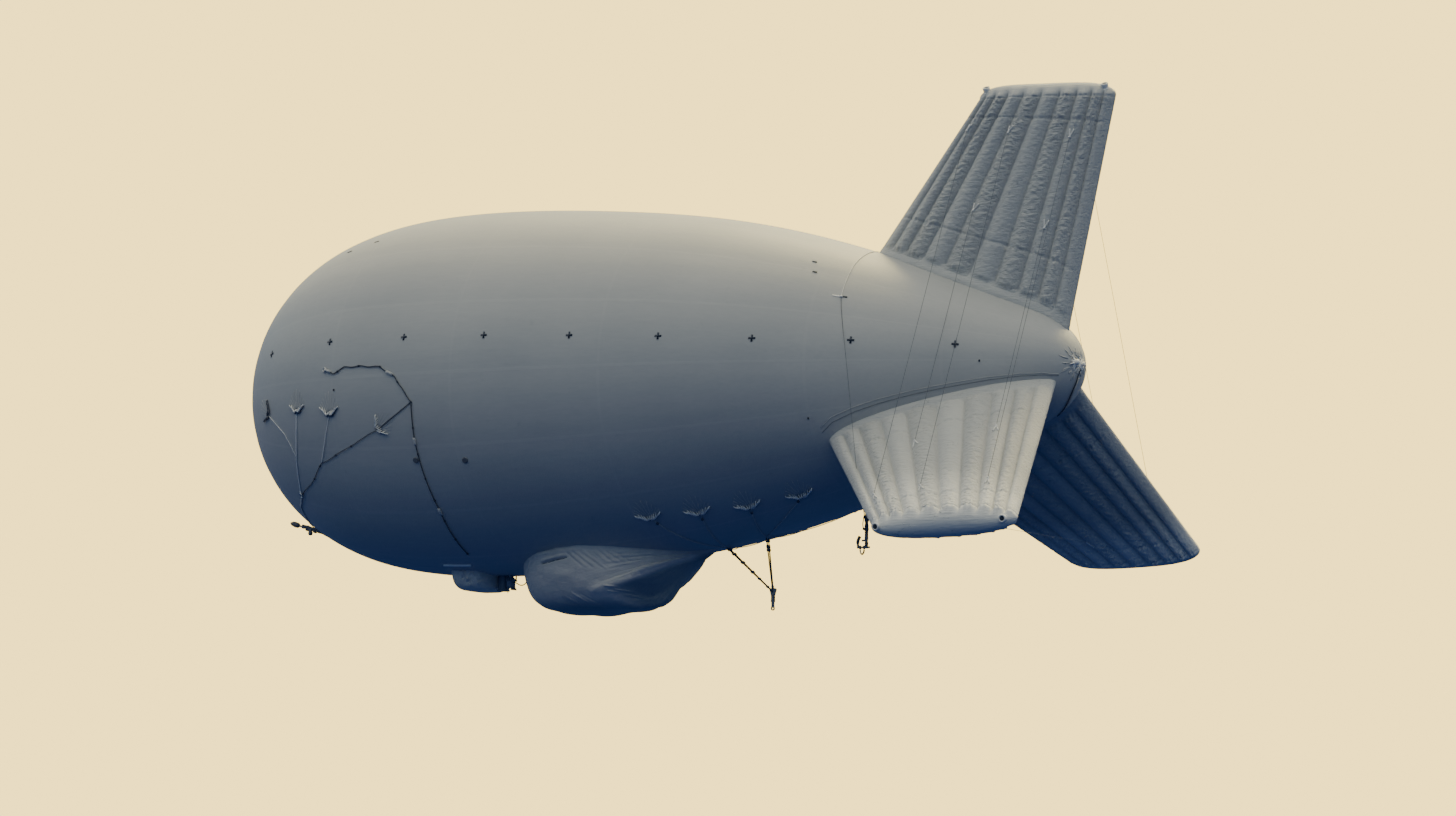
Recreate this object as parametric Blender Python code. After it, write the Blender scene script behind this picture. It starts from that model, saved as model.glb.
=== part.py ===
"""Tethered aerostat: a streamlined helium envelope with three inflated fins, a soft windscreen and its
payload under the belly, the suspension bridle, and the mooring and handling gear.

Metres, +Z up. The nose points to -X and the port side to -Y. The origin lies on the hull's axis, at the
centre of buoyancy. Lengths along the hull are given from the nose, and at() turns them into X."""

import math

import bmesh
import bpy
import numpy as np
from mathutils import Matrix, Vector

# Driving dimensions
HULL_LENGTH = 17.0
BUOYANCY_FROM_NOSE = 7.1
SHELL = 0.010
GAP = 0.0003
PAD = 0.010
HULL_SIDES = 40
HULL_RINGS = 26

# Columns: distance from the nose, hull radius
HULL_STATIONS = (
    (0.00, 0.00), (0.35, 1.352), (0.85, 2.066), (1.70, 2.727), (2.60, 3.098), (3.40, 3.270),
    (5.10, 3.377), (7.65, 3.245), (10.20, 2.920), (12.75, 2.273), (14.45, 1.652), (15.40, 1.292),
    (16.10, 1.015), (16.60, 0.735), (17.00, 0.00),
)

# Fins: the root line lies on the hull. The tip line is a seam, and a smooth cap stands on it.
# Columns of the two ends: distance from the nose, distance from the axis
FIN_ROOT = (13.06, 16.75)
FIN_TIP_FORE = (15.00, 4.73)
FIN_TIP_AFT = (17.60, 4.60)
FIN_DEPTH = 0.28
FIN_CAP_ENDS = 0.02
FIN_CAP_MIDDLE = 0.18
FIN_HALF_ROOT = 0.30
FIN_HALF_TIP = 0.26
FIN_FLARE = 0.07
FIN_RIBS = 10
FIN_RIB_CROWDING = 0.35
FIN_LOBE = 0.035
FIN_WALL = 0.012
FIN_BLUNTNESS = 2.4
# Sections of a fin. Columns: share of the way from root to seam, share of the flare, share of the lobes
FIN_SECTIONS = (
    (0.0, 1.0, 0.0), (0.05, 0.15, 0.0), (0.085, 0.0, 0.8), (0.5, 0.0, 1.0), (0.965, 0.0, 0.9), (1.0, 0.0, 0.15),
)
FIN_CAP_ANGLES = (35, 62, 82)
# Columns: name, angle above the port horizontal in degrees, offset across its plane, side that its valves face
FINS = (("upper", 90.0, 0.0, 1), ("port", -39.7, -0.04, -1), ("starboard", 219.7, 0.04, 1))
VALVE_INSET = 0.17
VALVE_RADIUS = 0.048

# Windscreen and bag. Columns: distance from the nose, half width, lowest point
SOFT_TOP = -2.6
WINDSCREEN = (
    (5.90, 0.10, -3.30), (5.95, 0.32, -3.46), (6.02, 0.52, -3.62), (6.13, 0.73, -3.80), (6.28, 0.92, -3.965),
    (6.48, 1.09, -4.06), (6.78, 1.25, -4.11), (7.25, 1.35, -4.13), (7.70, 1.32, -4.09), (8.30, 1.12, -4.02),
    (8.65, 0.93, -3.95), (8.82, 0.82, -3.84), (8.98, 0.70, -3.64), (9.17, 0.50, -3.38), (9.36, 0.30, -3.18),
    (9.55, 0.16, -3.06), (9.66, 0.10, -2.95),
)
BAG = (
    (4.47, 0.50, -3.42), (4.49, 0.60, -3.56), (4.56, 0.68, -3.64), (4.68, 0.70, -3.66), (4.90, 0.70, -3.66),
    (5.03, 0.67, -3.64), (5.08, 0.58, -3.57), (5.10, 0.46, -3.44),
)

# Payload gear under the belly
BLOWER_X = 5.225
BLOWER_BORE = 0.088
BLOWER_OUTER = 0.104
BLOWER_FLANGE = 0.014
BLOWER_TOP, BLOWER_MOUTH = -3.20, -3.66
BLOWER_PORT = 0.070
MOTOR_RADIUS = 0.030
ROTOR_RADIUS = 0.078
ROTOR_Z = -3.53
BLADES = 6
SHAFT_RADIUS = 0.008
SHAFT_PLAY = 0.0005
RAIL_PORT, RAIL_STARBOARD = -0.125, 0.045
RAIL_Z = -3.47
RAIL_RADIUS = 0.013
RAIL_FROM, RAIL_TO = 5.365, 5.490
BOX_FROM, BOX_TO = 5.365, 5.465
BOX_TOP, BOX_BOTTOM = -3.43, -3.59
CROSS_X = 5.425
JUNCTION_LOW = (5.420, -0.055, -3.64)
JUNCTION_HIGH = (5.480, 0.020)
ANTENNA_X, ANTENNA_Y = 5.385, -0.090
CABLE_RADIUS = 0.010
# Columns: distance from the nose, height
CABLE_LOOP = (
    (5.465, -3.500), (5.490, -3.500), (5.520, -3.525), (5.560, -3.555), (5.620, -3.572), (5.690, -3.566),
    (5.745, -3.535), (5.775, -3.480), (5.785, -3.420), (5.780, -3.300),
)

# Suspension bridle. Each line lies on the hull from its patch to the keel, and a stay hangs from there.
# Columns: distance from the nose, degrees below the horizontal
STAY_PATCHES = ((9.46, 57.0), (10.37, 58.9), (11.26, 61.7), (12.19, 63.7))
# Columns: keel point's distance from the nose, patches that are led to it
STAY_GROUPS = ((10.05, (0, 1)), (10.86, (2, 3)))
KEEL_BELOW = 89.3
STAY_RADIUS = 0.009
STAY_LIFT = 0.022
PATCH_RADIUS = 0.16
JOIN_X, JOIN_Z = 11.0, -3.77
PLATE_HALF = 0.012
FORK_Z = -3.84
PIN_RADIUS = 0.010
PIN_PLAY = 0.0005

# Handling hook that hangs behind the bridle
HOOK_X = 12.87
HOOK_PIVOT_Z = -2.80
STRAP_HALF = 0.018
# Columns: distance aft of the pivot, height above it
HOOK_HORN = ((-0.132, -0.026), (-0.165, -0.09), (-0.172, -0.15), (-0.160, -0.22))

# Mooring probe under the nose. The tip is given as distance from the nose, height
BOOM_FOOT = 1.45
BOOM_TIP = (0.45, -2.322)
BOOM_RADIUS = 0.018
SHOE_RADIUS = 0.07
PULLEY_BACK = 0.296
PULLEY_RADIUS = 0.045

# Lines of the nose bridle, each a run of points on the hull from a patch to a junction or to the ring.
# Columns: distance from the nose, degrees below the horizontal
NOSE_RING = (2.19, 41.8)
NOSE_LINES = (
    ((2.69, 9.7), (2.62, 16.0), (2.53, 22.1), (2.46, 25.8), (2.36, 32.0), NOSE_RING),
    ((1.76, 11.2), (2.04, 14.9), (2.24, 17.8), (2.37, 21.8), (2.46, 25.8)),
    ((3.54, 11.4), (3.43, 16.1), (3.33, 20.3), (3.13, 27.2)),
    ((4.63, 17.3), (4.14, 19.8), (3.79, 22.6), (3.13, 27.2), (2.81, 33.0), NOSE_RING),
)
NOSE_PATCH_RADIUS = 0.11
FILL_PORTS = (("fore", 5.34, 26.6), ("aft", 6.37, 27.5))
RELIEF_VALVE = (8.10, 40.0)


def at(from_nose):
    return from_nose - BUOYANCY_FROM_NOSE


def second_derivatives(x, y):
    """Those of the natural cubic spline through the stations."""
    n = len(x)
    h = np.diff(x)
    system = np.eye(n)
    right = np.zeros(n)
    for i in range(1, n - 1):
        system[i, i - 1:i + 2] = h[i - 1], 2 * (h[i - 1] + h[i]), h[i]
        right[i] = 6 * ((y[i + 1] - y[i]) / h[i] - (y[i] - y[i - 1]) / h[i - 1])
    return np.linalg.solve(system, right)


STATION_X = np.array([row[0] for row in HULL_STATIONS])
STATION_SQUARE = np.array([row[1] ** 2 for row in HULL_STATIONS])
STATION_BEND = second_derivatives(STATION_X, STATION_SQUARE)


def hull_radius(from_nose):
    """The square of the radius is a smooth spline, which makes both ends round."""
    s = min(max(from_nose, 0.0), HULL_LENGTH)
    i = min(int(np.searchsorted(STATION_X, s, side="right")) - 1, len(STATION_X) - 2)
    h = STATION_X[i + 1] - STATION_X[i]
    a = (STATION_X[i + 1] - s) / h
    b = 1 - a
    bend = ((a ** 3 - a) * STATION_BEND[i] + (b ** 3 - b) * STATION_BEND[i + 1]) * h * h / 6
    return math.sqrt(max(a * STATION_SQUARE[i] + b * STATION_SQUARE[i + 1] + bend, 0.0))


def hull_slope(from_nose):
    step = 0.01
    low, high = max(from_nose - step, 0.0), min(from_nose + step, HULL_LENGTH)
    return (hull_radius(high) - hull_radius(low)) / (high - low)


def on_hull(from_nose, below, side=-1, lift=0.0):
    """A point on the hull and its outward normal. side is -1 for port and 1 for starboard."""
    angle = math.radians(below)
    outward = Vector((0, side * math.cos(angle), -math.sin(angle)))
    normal = (outward - Vector((hull_slope(from_nose), 0, 0))).normalized()
    return Vector((at(from_nose), 0, 0)) + outward * hull_radius(from_nose) + normal * lift, normal


def material(name, colour, roughness, metallic=0.0):
    made = bpy.data.materials.new(name)
    made.use_nodes = True
    shader = made.node_tree.nodes["Principled BSDF"]
    shader.inputs["Base Color"].default_value = (*colour, 1)
    shader.inputs["Roughness"].default_value = roughness
    shader.inputs["Metallic"].default_value = metallic
    return made


def loft(rings, wrap=False, ladder=False):
    """A closed body through rings of points. A ring of one point closes an end, and other ends are capped,
    with one face, or with a ladder of narrow ones across and every warped face split the same way."""
    body = bmesh.new()
    made = [[body.verts.new(p) for p in ring] for ring in rings]
    pairs = list(zip(made, made[1:])) + ([(made[-1], made[0])] if wrap else [])
    for near, far in pairs:
        count = max(len(near), len(far))
        for i in range(count):
            j = (i + 1) % count
            corners = (
                [near[i], near[j]] if len(near) > 1 else [near[0]]
            ) + ([far[j], far[i]] if len(far) > 1 else [far[0]])
            if ladder and len(corners) == 4:
                body.faces.new(corners[:3])
                body.faces.new((corners[0], corners[2], corners[3]))
            else:
                body.faces.new(corners)
    ends = [] if wrap else [ring for ring in (made[0], made[-1]) if len(ring) > 2]
    for ring in ends:
        if not ladder:
            body.faces.new(ring)
            continue
        count = len(ring)
        body.faces.new((ring[0], ring[1], ring[-1]))
        for k in range(1, count // 2 - 1):
            body.faces.new((ring[k], ring[k + 1], ring[count - k - 1], ring[count - k]))
        body.faces.new((ring[count // 2 - 1], ring[count // 2], ring[count // 2 + 1]))
    bmesh.ops.recalc_face_normals(body, faces=body.faces)
    return body


def frame_for(direction):
    """Two unit vectors across a direction."""
    direction = direction.normalized()
    aside = Vector((0, 0, 1)) if abs(direction.z) < 0.9 else Vector((1, 0, 0))
    first = direction.cross(aside).normalized()
    return first, direction.cross(first).normalized()


def turned(profile, base, direction, sides=16, wrap=False):
    """A turned body. The profile's rows are the distance along the direction and the radius."""
    direction = direction.normalized()
    first, second = frame_for(direction)
    rings = []
    for along, radius in profile:
        centre = base + direction * along
        if radius == 0:
            rings.append([centre])
            continue
        turns = [2 * math.pi * k / sides for k in range(sides)]
        rings.append([centre + (first * math.cos(a) + second * math.sin(a)) * radius for a in turns])
    return loft(rings, wrap)


def rod(start, end, radius, sides=12):
    return turned(((0, radius), ((end - start).length, radius)), start, end - start, sides)


def swept(points, radius, sides=8, wrap=False):
    """A round tube through the points, with a mitred ring at each."""
    points = [Vector(p) for p in points]
    count = len(points)
    rings = []
    first = None
    for i, point in enumerate(points):
        before = points[i - 1] if i or wrap else point
        after = points[(i + 1) % count] if i < count - 1 or wrap else point
        direction = (after - before).normalized()
        first = frame_for(direction)[0] if first is None else (first - direction * first.dot(direction)).normalized()
        second = direction.cross(first)
        turns = [2 * math.pi * k / sides for k in range(sides)]
        rings.append([point + (first * math.cos(a) + second * math.sin(a)) * radius for a in turns])
    return loft(rings, wrap)


def block(low, high):
    body = bmesh.new()
    bmesh.ops.create_cube(body, size=1.0)
    low, high = Vector(low), Vector(high)
    for vertex in body.verts:
        vertex.co = (low + high) / 2 + Vector(c * s for c, s in zip(vertex.co, high - low))
    return body


def plate(outline, y_low, y_high):
    """A flat plate: an outline of (x, z) points, extruded across from y_low to y_high."""
    return loft([[(x, y, z) for x, z in outline] for y in (y_low, y_high)])


def arc(x, z, radius, start, end, steps):
    turns = [math.radians(start + (end - start) * k / steps) for k in range(steps + 1)]
    return [(x + radius * math.cos(a), z + radius * math.sin(a)) for a in turns]


def place(name, body, look=None):
    """An object from a body. Without a look it is a cutter or a helper, which no render shows."""
    mesh = bpy.data.meshes.new(name)
    body.to_mesh(mesh)
    body.free()
    made = bpy.data.objects.new(name, mesh)
    bpy.context.scene.collection.objects.link(made)
    if look:
        mesh.materials.append(look)
        mesh.shade_smooth()
        mesh.set_sharp_from_angle(angle=math.radians(40))
    else:
        made.hide_render = True
        made.display_type = "WIRE"
    return made


def combine(made, operation, other):
    step = made.modifiers.new(operation.title(), "BOOLEAN")
    step.operation = operation
    step.solver = "EXACT"
    step.object = other


def assemble(name, look, body, on_skin=False, seat=True, add=(), cut=()):
    """A node from a body. It may be trimmed to a pad on the hull's skin, seated on it, added to and cut."""
    made = place(name, body, look)
    if on_skin:
        combine(made, "INTERSECT", PAD_SKIN)
    for i, extra in enumerate(add):
        combine(made, "UNION", place(f"{name}_add_{i}", extra))
    if on_skin or seat:
        combine(made, "DIFFERENCE", HULL_CUTTER)
    for i, hole in enumerate(cut):
        combine(made, "DIFFERENCE", hole if isinstance(hole, bpy.types.Object) else place(f"{name}_cut_{i}", hole))
    return made


def pivot(made, point):
    """Puts a moving piece's origin on its joint's axis."""
    made.data.transform(Matrix.Translation(-Vector(point)))
    made.location = point
    return made


# Envelope


def hull_body(grow):
    """The hull's outer surface, grown outwards by this much."""
    rings = [[(at(0) - grow, 0, 0)]]
    for k in range(1, HULL_RINGS + 1):
        s = HULL_LENGTH / 2 * (1 - math.cos(math.pi * k / (HULL_RINGS + 1)))
        slope = hull_slope(s)
        out = grow / math.sqrt(1 + slope * slope)
        radius = hull_radius(s) + out
        x = at(s) - out * slope
        turns = [2 * math.pi * (i + 0.5) / HULL_SIDES for i in range(HULL_SIDES)]
        rings.append([(x, radius * math.cos(a), radius * math.sin(a)) for a in turns])
    rings.append([(at(HULL_LENGTH) + grow, 0, 0)])
    return loft(rings)


def make_envelope(look):
    made = place("envelope", hull_body(0), look)
    combine(made, "DIFFERENCE", place("hull_inside", hull_body(-SHELL)))
    port = rod(Vector((at(BLOWER_X), 0, -3.0)), Vector((at(BLOWER_X), 0, -3.6)), BLOWER_PORT, 16)
    combine(made, "DIFFERENCE", place("blower_port", port))


# Fins


def fin_axes(angle):
    """Unit vectors from the hull's axis to the fin's tip, and across the fin."""
    turn = math.radians(angle)
    outward = Vector((0, -math.cos(turn), math.sin(turn)))
    return outward, Vector((1, 0, 0)).cross(outward)


def rib_place(share):
    """The lobes have one girth, so near both edges, where the fin is round, they crowd together."""
    return share - FIN_RIB_CROWDING * math.sin(2 * math.pi * share) / (2 * math.pi)


def fin_section(row, grow, ribbed, steps):
    """Points of one section: distance from the nose, distance from the axis, half thickness."""
    along, flare, lobes = row
    points = []
    for k in range(steps + 1):
        share = k / steps
        u = rib_place(share)
        root = Vector((FIN_ROOT[0] + (FIN_ROOT[1] - FIN_ROOT[0]) * u, 0))
        root.y = hull_radius(root.x)
        tip = Vector(FIN_TIP_FORE).lerp(Vector(FIN_TIP_AFT), u)
        place_on = root.lerp(tip, along)
        fullness = math.sqrt(max(1 - abs(2 * u - 1) ** FIN_BLUNTNESS, 0.0))
        half = FIN_HALF_ROOT + (FIN_HALF_TIP - FIN_HALF_ROOT) * along + FIN_FLARE * flare + grow
        if ribbed:
            half += FIN_LOBE * lobes * abs(math.sin(math.pi * FIN_RIBS * share))
        shift = grow * (2 * u - 1)
        points.append((place_on.x + shift, place_on.y, half * fullness))
    return points


def fin_body(angle, offset, grow, ribbed):
    """A fin from inside the hull to its rounded tip. grow swells it evenly, or shrinks it for the inside."""
    outward, across = fin_axes(angle)
    steps = FIN_RIBS * (4 if ribbed else 2)
    sections = [fin_section(row, grow, ribbed, steps) for row in FIN_SECTIONS]
    # Below the root line the body goes on into the hull, which trims it
    root = sections[0]
    depth = FIN_DEPTH if ribbed else FIN_DEPTH + 0.05
    sections.insert(0, [(x, distance - depth, half) for x, distance, half in root])
    seam = sections[-1]
    for turn in FIN_CAP_ANGLES:
        rise, keep = math.sin(math.radians(turn)), math.cos(math.radians(turn))
        ring = []
        for k, (x, distance, half) in enumerate(seam):
            u = rib_place(k / steps)
            height = FIN_CAP_ENDS + FIN_CAP_MIDDLE * math.sqrt(max(1 - abs(2 * u - 1) ** 3, 0.0)) + grow
            inward = (1 - 2 * u) * 0.25 * height * (1 - keep)
            ring.append((x + inward, distance + height * rise, half * keep))
        sections.append(ring)
    rings = []
    for points in sections:
        loop = [(x, d, h) for x, d, h in points] + [(x, d, -h) for x, d, h in reversed(points[1:-1])]
        rings.append([Vector((at(x), 0, 0)) + outward * d + across * (offset + h) for x, d, h in loop])
    return loft(rings, ladder=True)


def make_fins(look, valve_look):
    for name, angle, offset, side in FINS:
        inside = place(f"fin_{name}_inside", fin_body(angle, offset, -FIN_WALL, False))
        made = place(f"fin_{name}", fin_body(angle, offset, 0, True), look)
        combine(made, "DIFFERENCE", inside)
        combine(made, "DIFFERENCE", HULL_CUTTER)
        skin = place(f"fin_{name}_skin", fin_body(angle, offset, 3 * GAP, True))
        outward, across = fin_axes(angle)
        corners = (
            ("fore", FIN_TIP_FORE[0] + VALVE_INSET, FIN_TIP_FORE[1]),
            ("aft", FIN_TIP_AFT[0] - VALVE_INSET, FIN_TIP_AFT[1]),
        )
        for end, x, distance in corners:
            base = Vector((at(x), 0, 0)) + outward * distance + across * offset
            stub = ((0.02, VALVE_RADIUS), (0.165, VALVE_RADIUS), (0.175, 0.8 * VALVE_RADIUS))
            body = turned(stub, base, outward + across * (0.6 * side), 12)
            assemble(f"fin_{name}_valve_{end}", valve_look, body, seat=False, cut=(skin,))


# Windscreen and bag


def soft_body(table, sides=24):
    """A soft pod that hangs from inside the hull. Its sections are rounded, and wide where the skin cuts them."""
    rings = []
    for from_nose, half_width, low in table:
        middle = (-3.0 + SOFT_TOP) / 2
        middle = max(middle, low + 0.35)
        ring = []
        for k in range(sides):
            a = 2 * math.pi * k / sides
            c, s = math.cos(a), math.sin(a)
            wide = math.copysign(abs(c) ** 0.8, c) * half_width
            high = math.copysign(abs(s) ** 0.8, s)
            ring.append((at(from_nose), wide, middle + high * ((SOFT_TOP - middle) if s > 0 else (middle - low))))
        rings.append(ring)
    return loft(rings)


# Payload gear


def make_blower(housing_look, rotor_look):
    x = at(BLOWER_X)
    down = Vector((0, 0, -1))
    top = Vector((x, 0, BLOWER_TOP))
    height = BLOWER_TOP - BLOWER_MOUTH
    rim = BLOWER_OUTER + BLOWER_FLANGE
    wall = (
        (0, BLOWER_OUTER), (height - 0.03, BLOWER_OUTER), (height - 0.03, rim), (height, rim),
        (height, BLOWER_BORE), (0, BLOWER_BORE),
    )
    motor_top = ROTOR_Z - 0.03 - GAP
    motor = rod(Vector((x, 0, motor_top)), Vector((x, 0, BLOWER_MOUTH + 0.01)), MOTOR_RADIUS, 16)
    arms = []
    for k in range(3):
        arm = block((0.02, -0.006, BLOWER_MOUTH + 0.015), (BLOWER_BORE + 0.008, 0.006, BLOWER_MOUTH + 0.035))
        arm.transform(Matrix.Translation((x, 0, 0)) @ Matrix.Rotation(2 * math.pi * k / 3, 4, "Z"))
        arms.append(arm)
    bore = rod(Vector((x, 0, motor_top + 0.01)), Vector((x, 0, motor_top - 0.03)), SHAFT_RADIUS + SHAFT_PLAY, 16)
    assemble(
        "blower_housing", housing_look, turned(wall, top, down, 24, wrap=True), add=[motor, *arms], cut=[bore]
    )
    hub = turned(
        ((-0.04, 0), (-0.03, 0.022), (0, 0.032), (0.03, 0.032), (0.03, SHAFT_RADIUS), (0.055, SHAFT_RADIUS)),
        Vector((x, 0, ROTOR_Z)), down, 16,
    )
    blades = []
    for k in range(BLADES):
        blade = block((0.024, -0.022, -0.003), (ROTOR_RADIUS, 0.022, 0.003))
        tilt = Matrix.Rotation(math.radians(28), 4, "X")
        spin = Matrix.Rotation(2 * math.pi * k / BLADES, 4, "Z")
        blade.transform(Matrix.Translation((x, 0, ROTOR_Z)) @ spin @ tilt)
        blades.append(blade)
    rotor = assemble("blower_rotor", rotor_look, hub, seat=False, add=blades)
    return rotor


def make_payload(looks):
    rails = []
    cross_z = BOX_TOP + RAIL_RADIUS + GAP - 0.001
    for y in (RAIL_PORT, RAIL_STARBOARD):
        rails.append(rod(Vector((at(RAIL_FROM), y, RAIL_Z)), Vector((at(RAIL_TO), y, RAIL_Z)), RAIL_RADIUS))
        for x in (RAIL_FROM + 0.02, RAIL_TO - 0.02):
            rails.append(rod(Vector((at(x), y, RAIL_Z)), Vector((at(x), y, BLOWER_TOP)), RAIL_RADIUS))
        rails.append(rod(Vector((at(CROSS_X), y, RAIL_Z)), Vector((at(CROSS_X), y, cross_z)), RAIL_RADIUS))
    ends = [Vector((at(CROSS_X), y, cross_z)) for y in (RAIL_PORT, RAIL_STARBOARD)]
    assemble("belly_frame", looks["metal"], rails[0], add=[*rails[1:], rod(*ends, RAIL_RADIUS - 0.001)])
    inset = RAIL_RADIUS + GAP
    low = (at(BOX_FROM), RAIL_PORT + inset, BOX_BOTTOM)
    assemble(
        "avionics_box", looks["box"], block(low, (at(BOX_TO), RAIL_STARBOARD - inset, BOX_TOP)), seat=False,
    )
    x, y, z = JUNCTION_LOW
    assemble(
        "junction_box", looks["box"],
        block((at(x), y, z), (at(JUNCTION_HIGH[0]), JUNCTION_HIGH[1], BOX_BOTTOM - GAP)), seat=False,
    )
    under = Vector((at(ANTENNA_X), ANTENNA_Y, BOX_BOTTOM - GAP))
    spike = turned(((0, 0.022), (0.02, 0.018), (0.115, 0.004)), under, Vector((0, 0, -1)), 8)
    assemble("whip_antenna", looks["metal"], spike, seat=False)
    loop = [(at(x) + GAP, (RAIL_PORT + RAIL_STARBOARD) / 2, z) for x, z in CABLE_LOOP]
    assemble("cable_loop", looks["cable"], swept(loop, CABLE_RADIUS))


# Suspension bridle


def column(point, normal, radius, sides=16):
    """A short post along the normal, which the pad's skin trims to a disc on the hull."""
    return rod(point - normal * 0.15, point + normal * 0.15, radius, sides)


def together(bodies):
    """Bodies that stand apart, as one body of several shells."""
    base = bmesh.new()
    for body in bodies:
        mesh = bpy.data.meshes.new("shell")
        body.to_mesh(mesh)
        body.free()
        base.from_mesh(mesh)
        bpy.data.meshes.remove(mesh)
    return base


def along_hull(points, side, lift, steps):
    """Points of a line that lies on the hull, with this many steps between each two of the given ones."""
    run = []
    for (s0, b0), (s1, b1) in zip(points, points[1:]):
        for k in range(steps):
            share = k / steps
            run.append(on_hull(s0 + (s1 - s0) * share, b0 + (b1 - b0) * share, side, lift)[0])
    run.append(on_hull(*points[-1], side, lift)[0])
    return run


def make_bridle(looks):
    for name, side in (("port", -1), ("starboard", 1)):
        posts = []
        more = []
        meet = Vector((at(JOIN_X), side * 0.036, JOIN_Z))
        for keel_x, patches in STAY_GROUPS:
            keel, normal = on_hull(keel_x, KEEL_BELOW, side, STAY_LIFT)
            more.append(rod(keel, meet, STAY_RADIUS, 8))
            more.append(rod(keel - normal * 0.05, keel + normal * 0.012, 2 * STAY_RADIUS, 10))
            for row in patches:
                point, normal = on_hull(*STAY_PATCHES[row], side)
                posts.append(column(point, normal, PATCH_RADIUS))
                more.append(turned(((-0.040, 0.030), (0.036, 0.030)), point, normal, 10))
                line = along_hull((STAY_PATCHES[row], (keel_x, KEEL_BELOW)), side, STAY_LIFT, 8)
                more.append(swept(line, 0.8 * STAY_RADIUS, 6))
        boss = rod(Vector((meet.x, side * (PLATE_HALF + GAP), meet.z)), Vector((meet.x, side * 0.06, meet.z)), 0.034)
        assemble(f"suspension_{name}", looks["rope"], together(posts), on_skin=True, add=[*more, boss])


def make_tether_gear(looks):
    x = at(JOIN_X)
    outline = arc(x, FORK_Z, 0.035, 180, 360, 8) + arc(x + 0.04, JOIN_Z + 0.04, 0.03, 0, 90, 3)
    outline += arc(x - 0.04, JOIN_Z + 0.04, 0.03, 90, 180, 3)
    hole = rod(Vector((x, -0.05, FORK_Z)), Vector((x, 0.05, FORK_Z)), PIN_RADIUS + PIN_PLAY, 16)
    assemble("confluence_plate", looks["metal"], plate(outline, -PLATE_HALF, PLATE_HALF), seat=False, cut=[hole])

    near, far = PLATE_HALF + 0.006, PLATE_HALF + 0.018
    cheek = arc(x, FORK_Z, 0.026, 0, 180, 8) + [(x - 0.026, FORK_Z - 0.10), (x + 0.026, FORK_Z - 0.10)]
    cheeks = [plate(cheek, -far, -near), plate(cheek, near, far)]
    bridge = block((x - 0.03, 0.002 - far, FORK_Z - 0.105), (x + 0.03, far - 0.002, FORK_Z - 0.065))
    pin = rod(Vector((x, -far - 0.008, FORK_Z)), Vector((x, far + 0.008, FORK_Z)), PIN_RADIUS, 16)
    socket = rod(Vector((x, 0, FORK_Z - 0.075)), Vector((x, 0, FORK_Z - 0.12)), 0.012 + PIN_PLAY, 16)
    fork = assemble("tether_fork", looks["metal"], bridge, seat=False, add=[*cheeks, pin], cut=[socket])
    pivot(fork, (x, 0, FORK_Z))

    top = FORK_Z - 0.105 - GAP
    stem = turned(
        ((-0.025, 0.012), (0, 0.012), (0, 0.030), (0.045, 0.030), (0.055, 0.022)), Vector((x, 0, top)),
        Vector((0, 0, -1)), 16,
    )
    eye_z = top - 0.115
    eye = arc(x, eye_z, 0.036, 180, 360, 10) + [(x + 0.024, top - 0.05), (x - 0.024, top - 0.05)]
    hole = rod(Vector((x, -0.05, eye_z)), Vector((x, 0.05, eye_z)), 0.018, 16)
    swivel = assemble("tether_swivel", looks["metal"], stem, seat=False, add=[plate(eye, -0.012, 0.012)], cut=[hole])
    pivot(swivel, (x, 0, top))


# Handling hook


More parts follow.
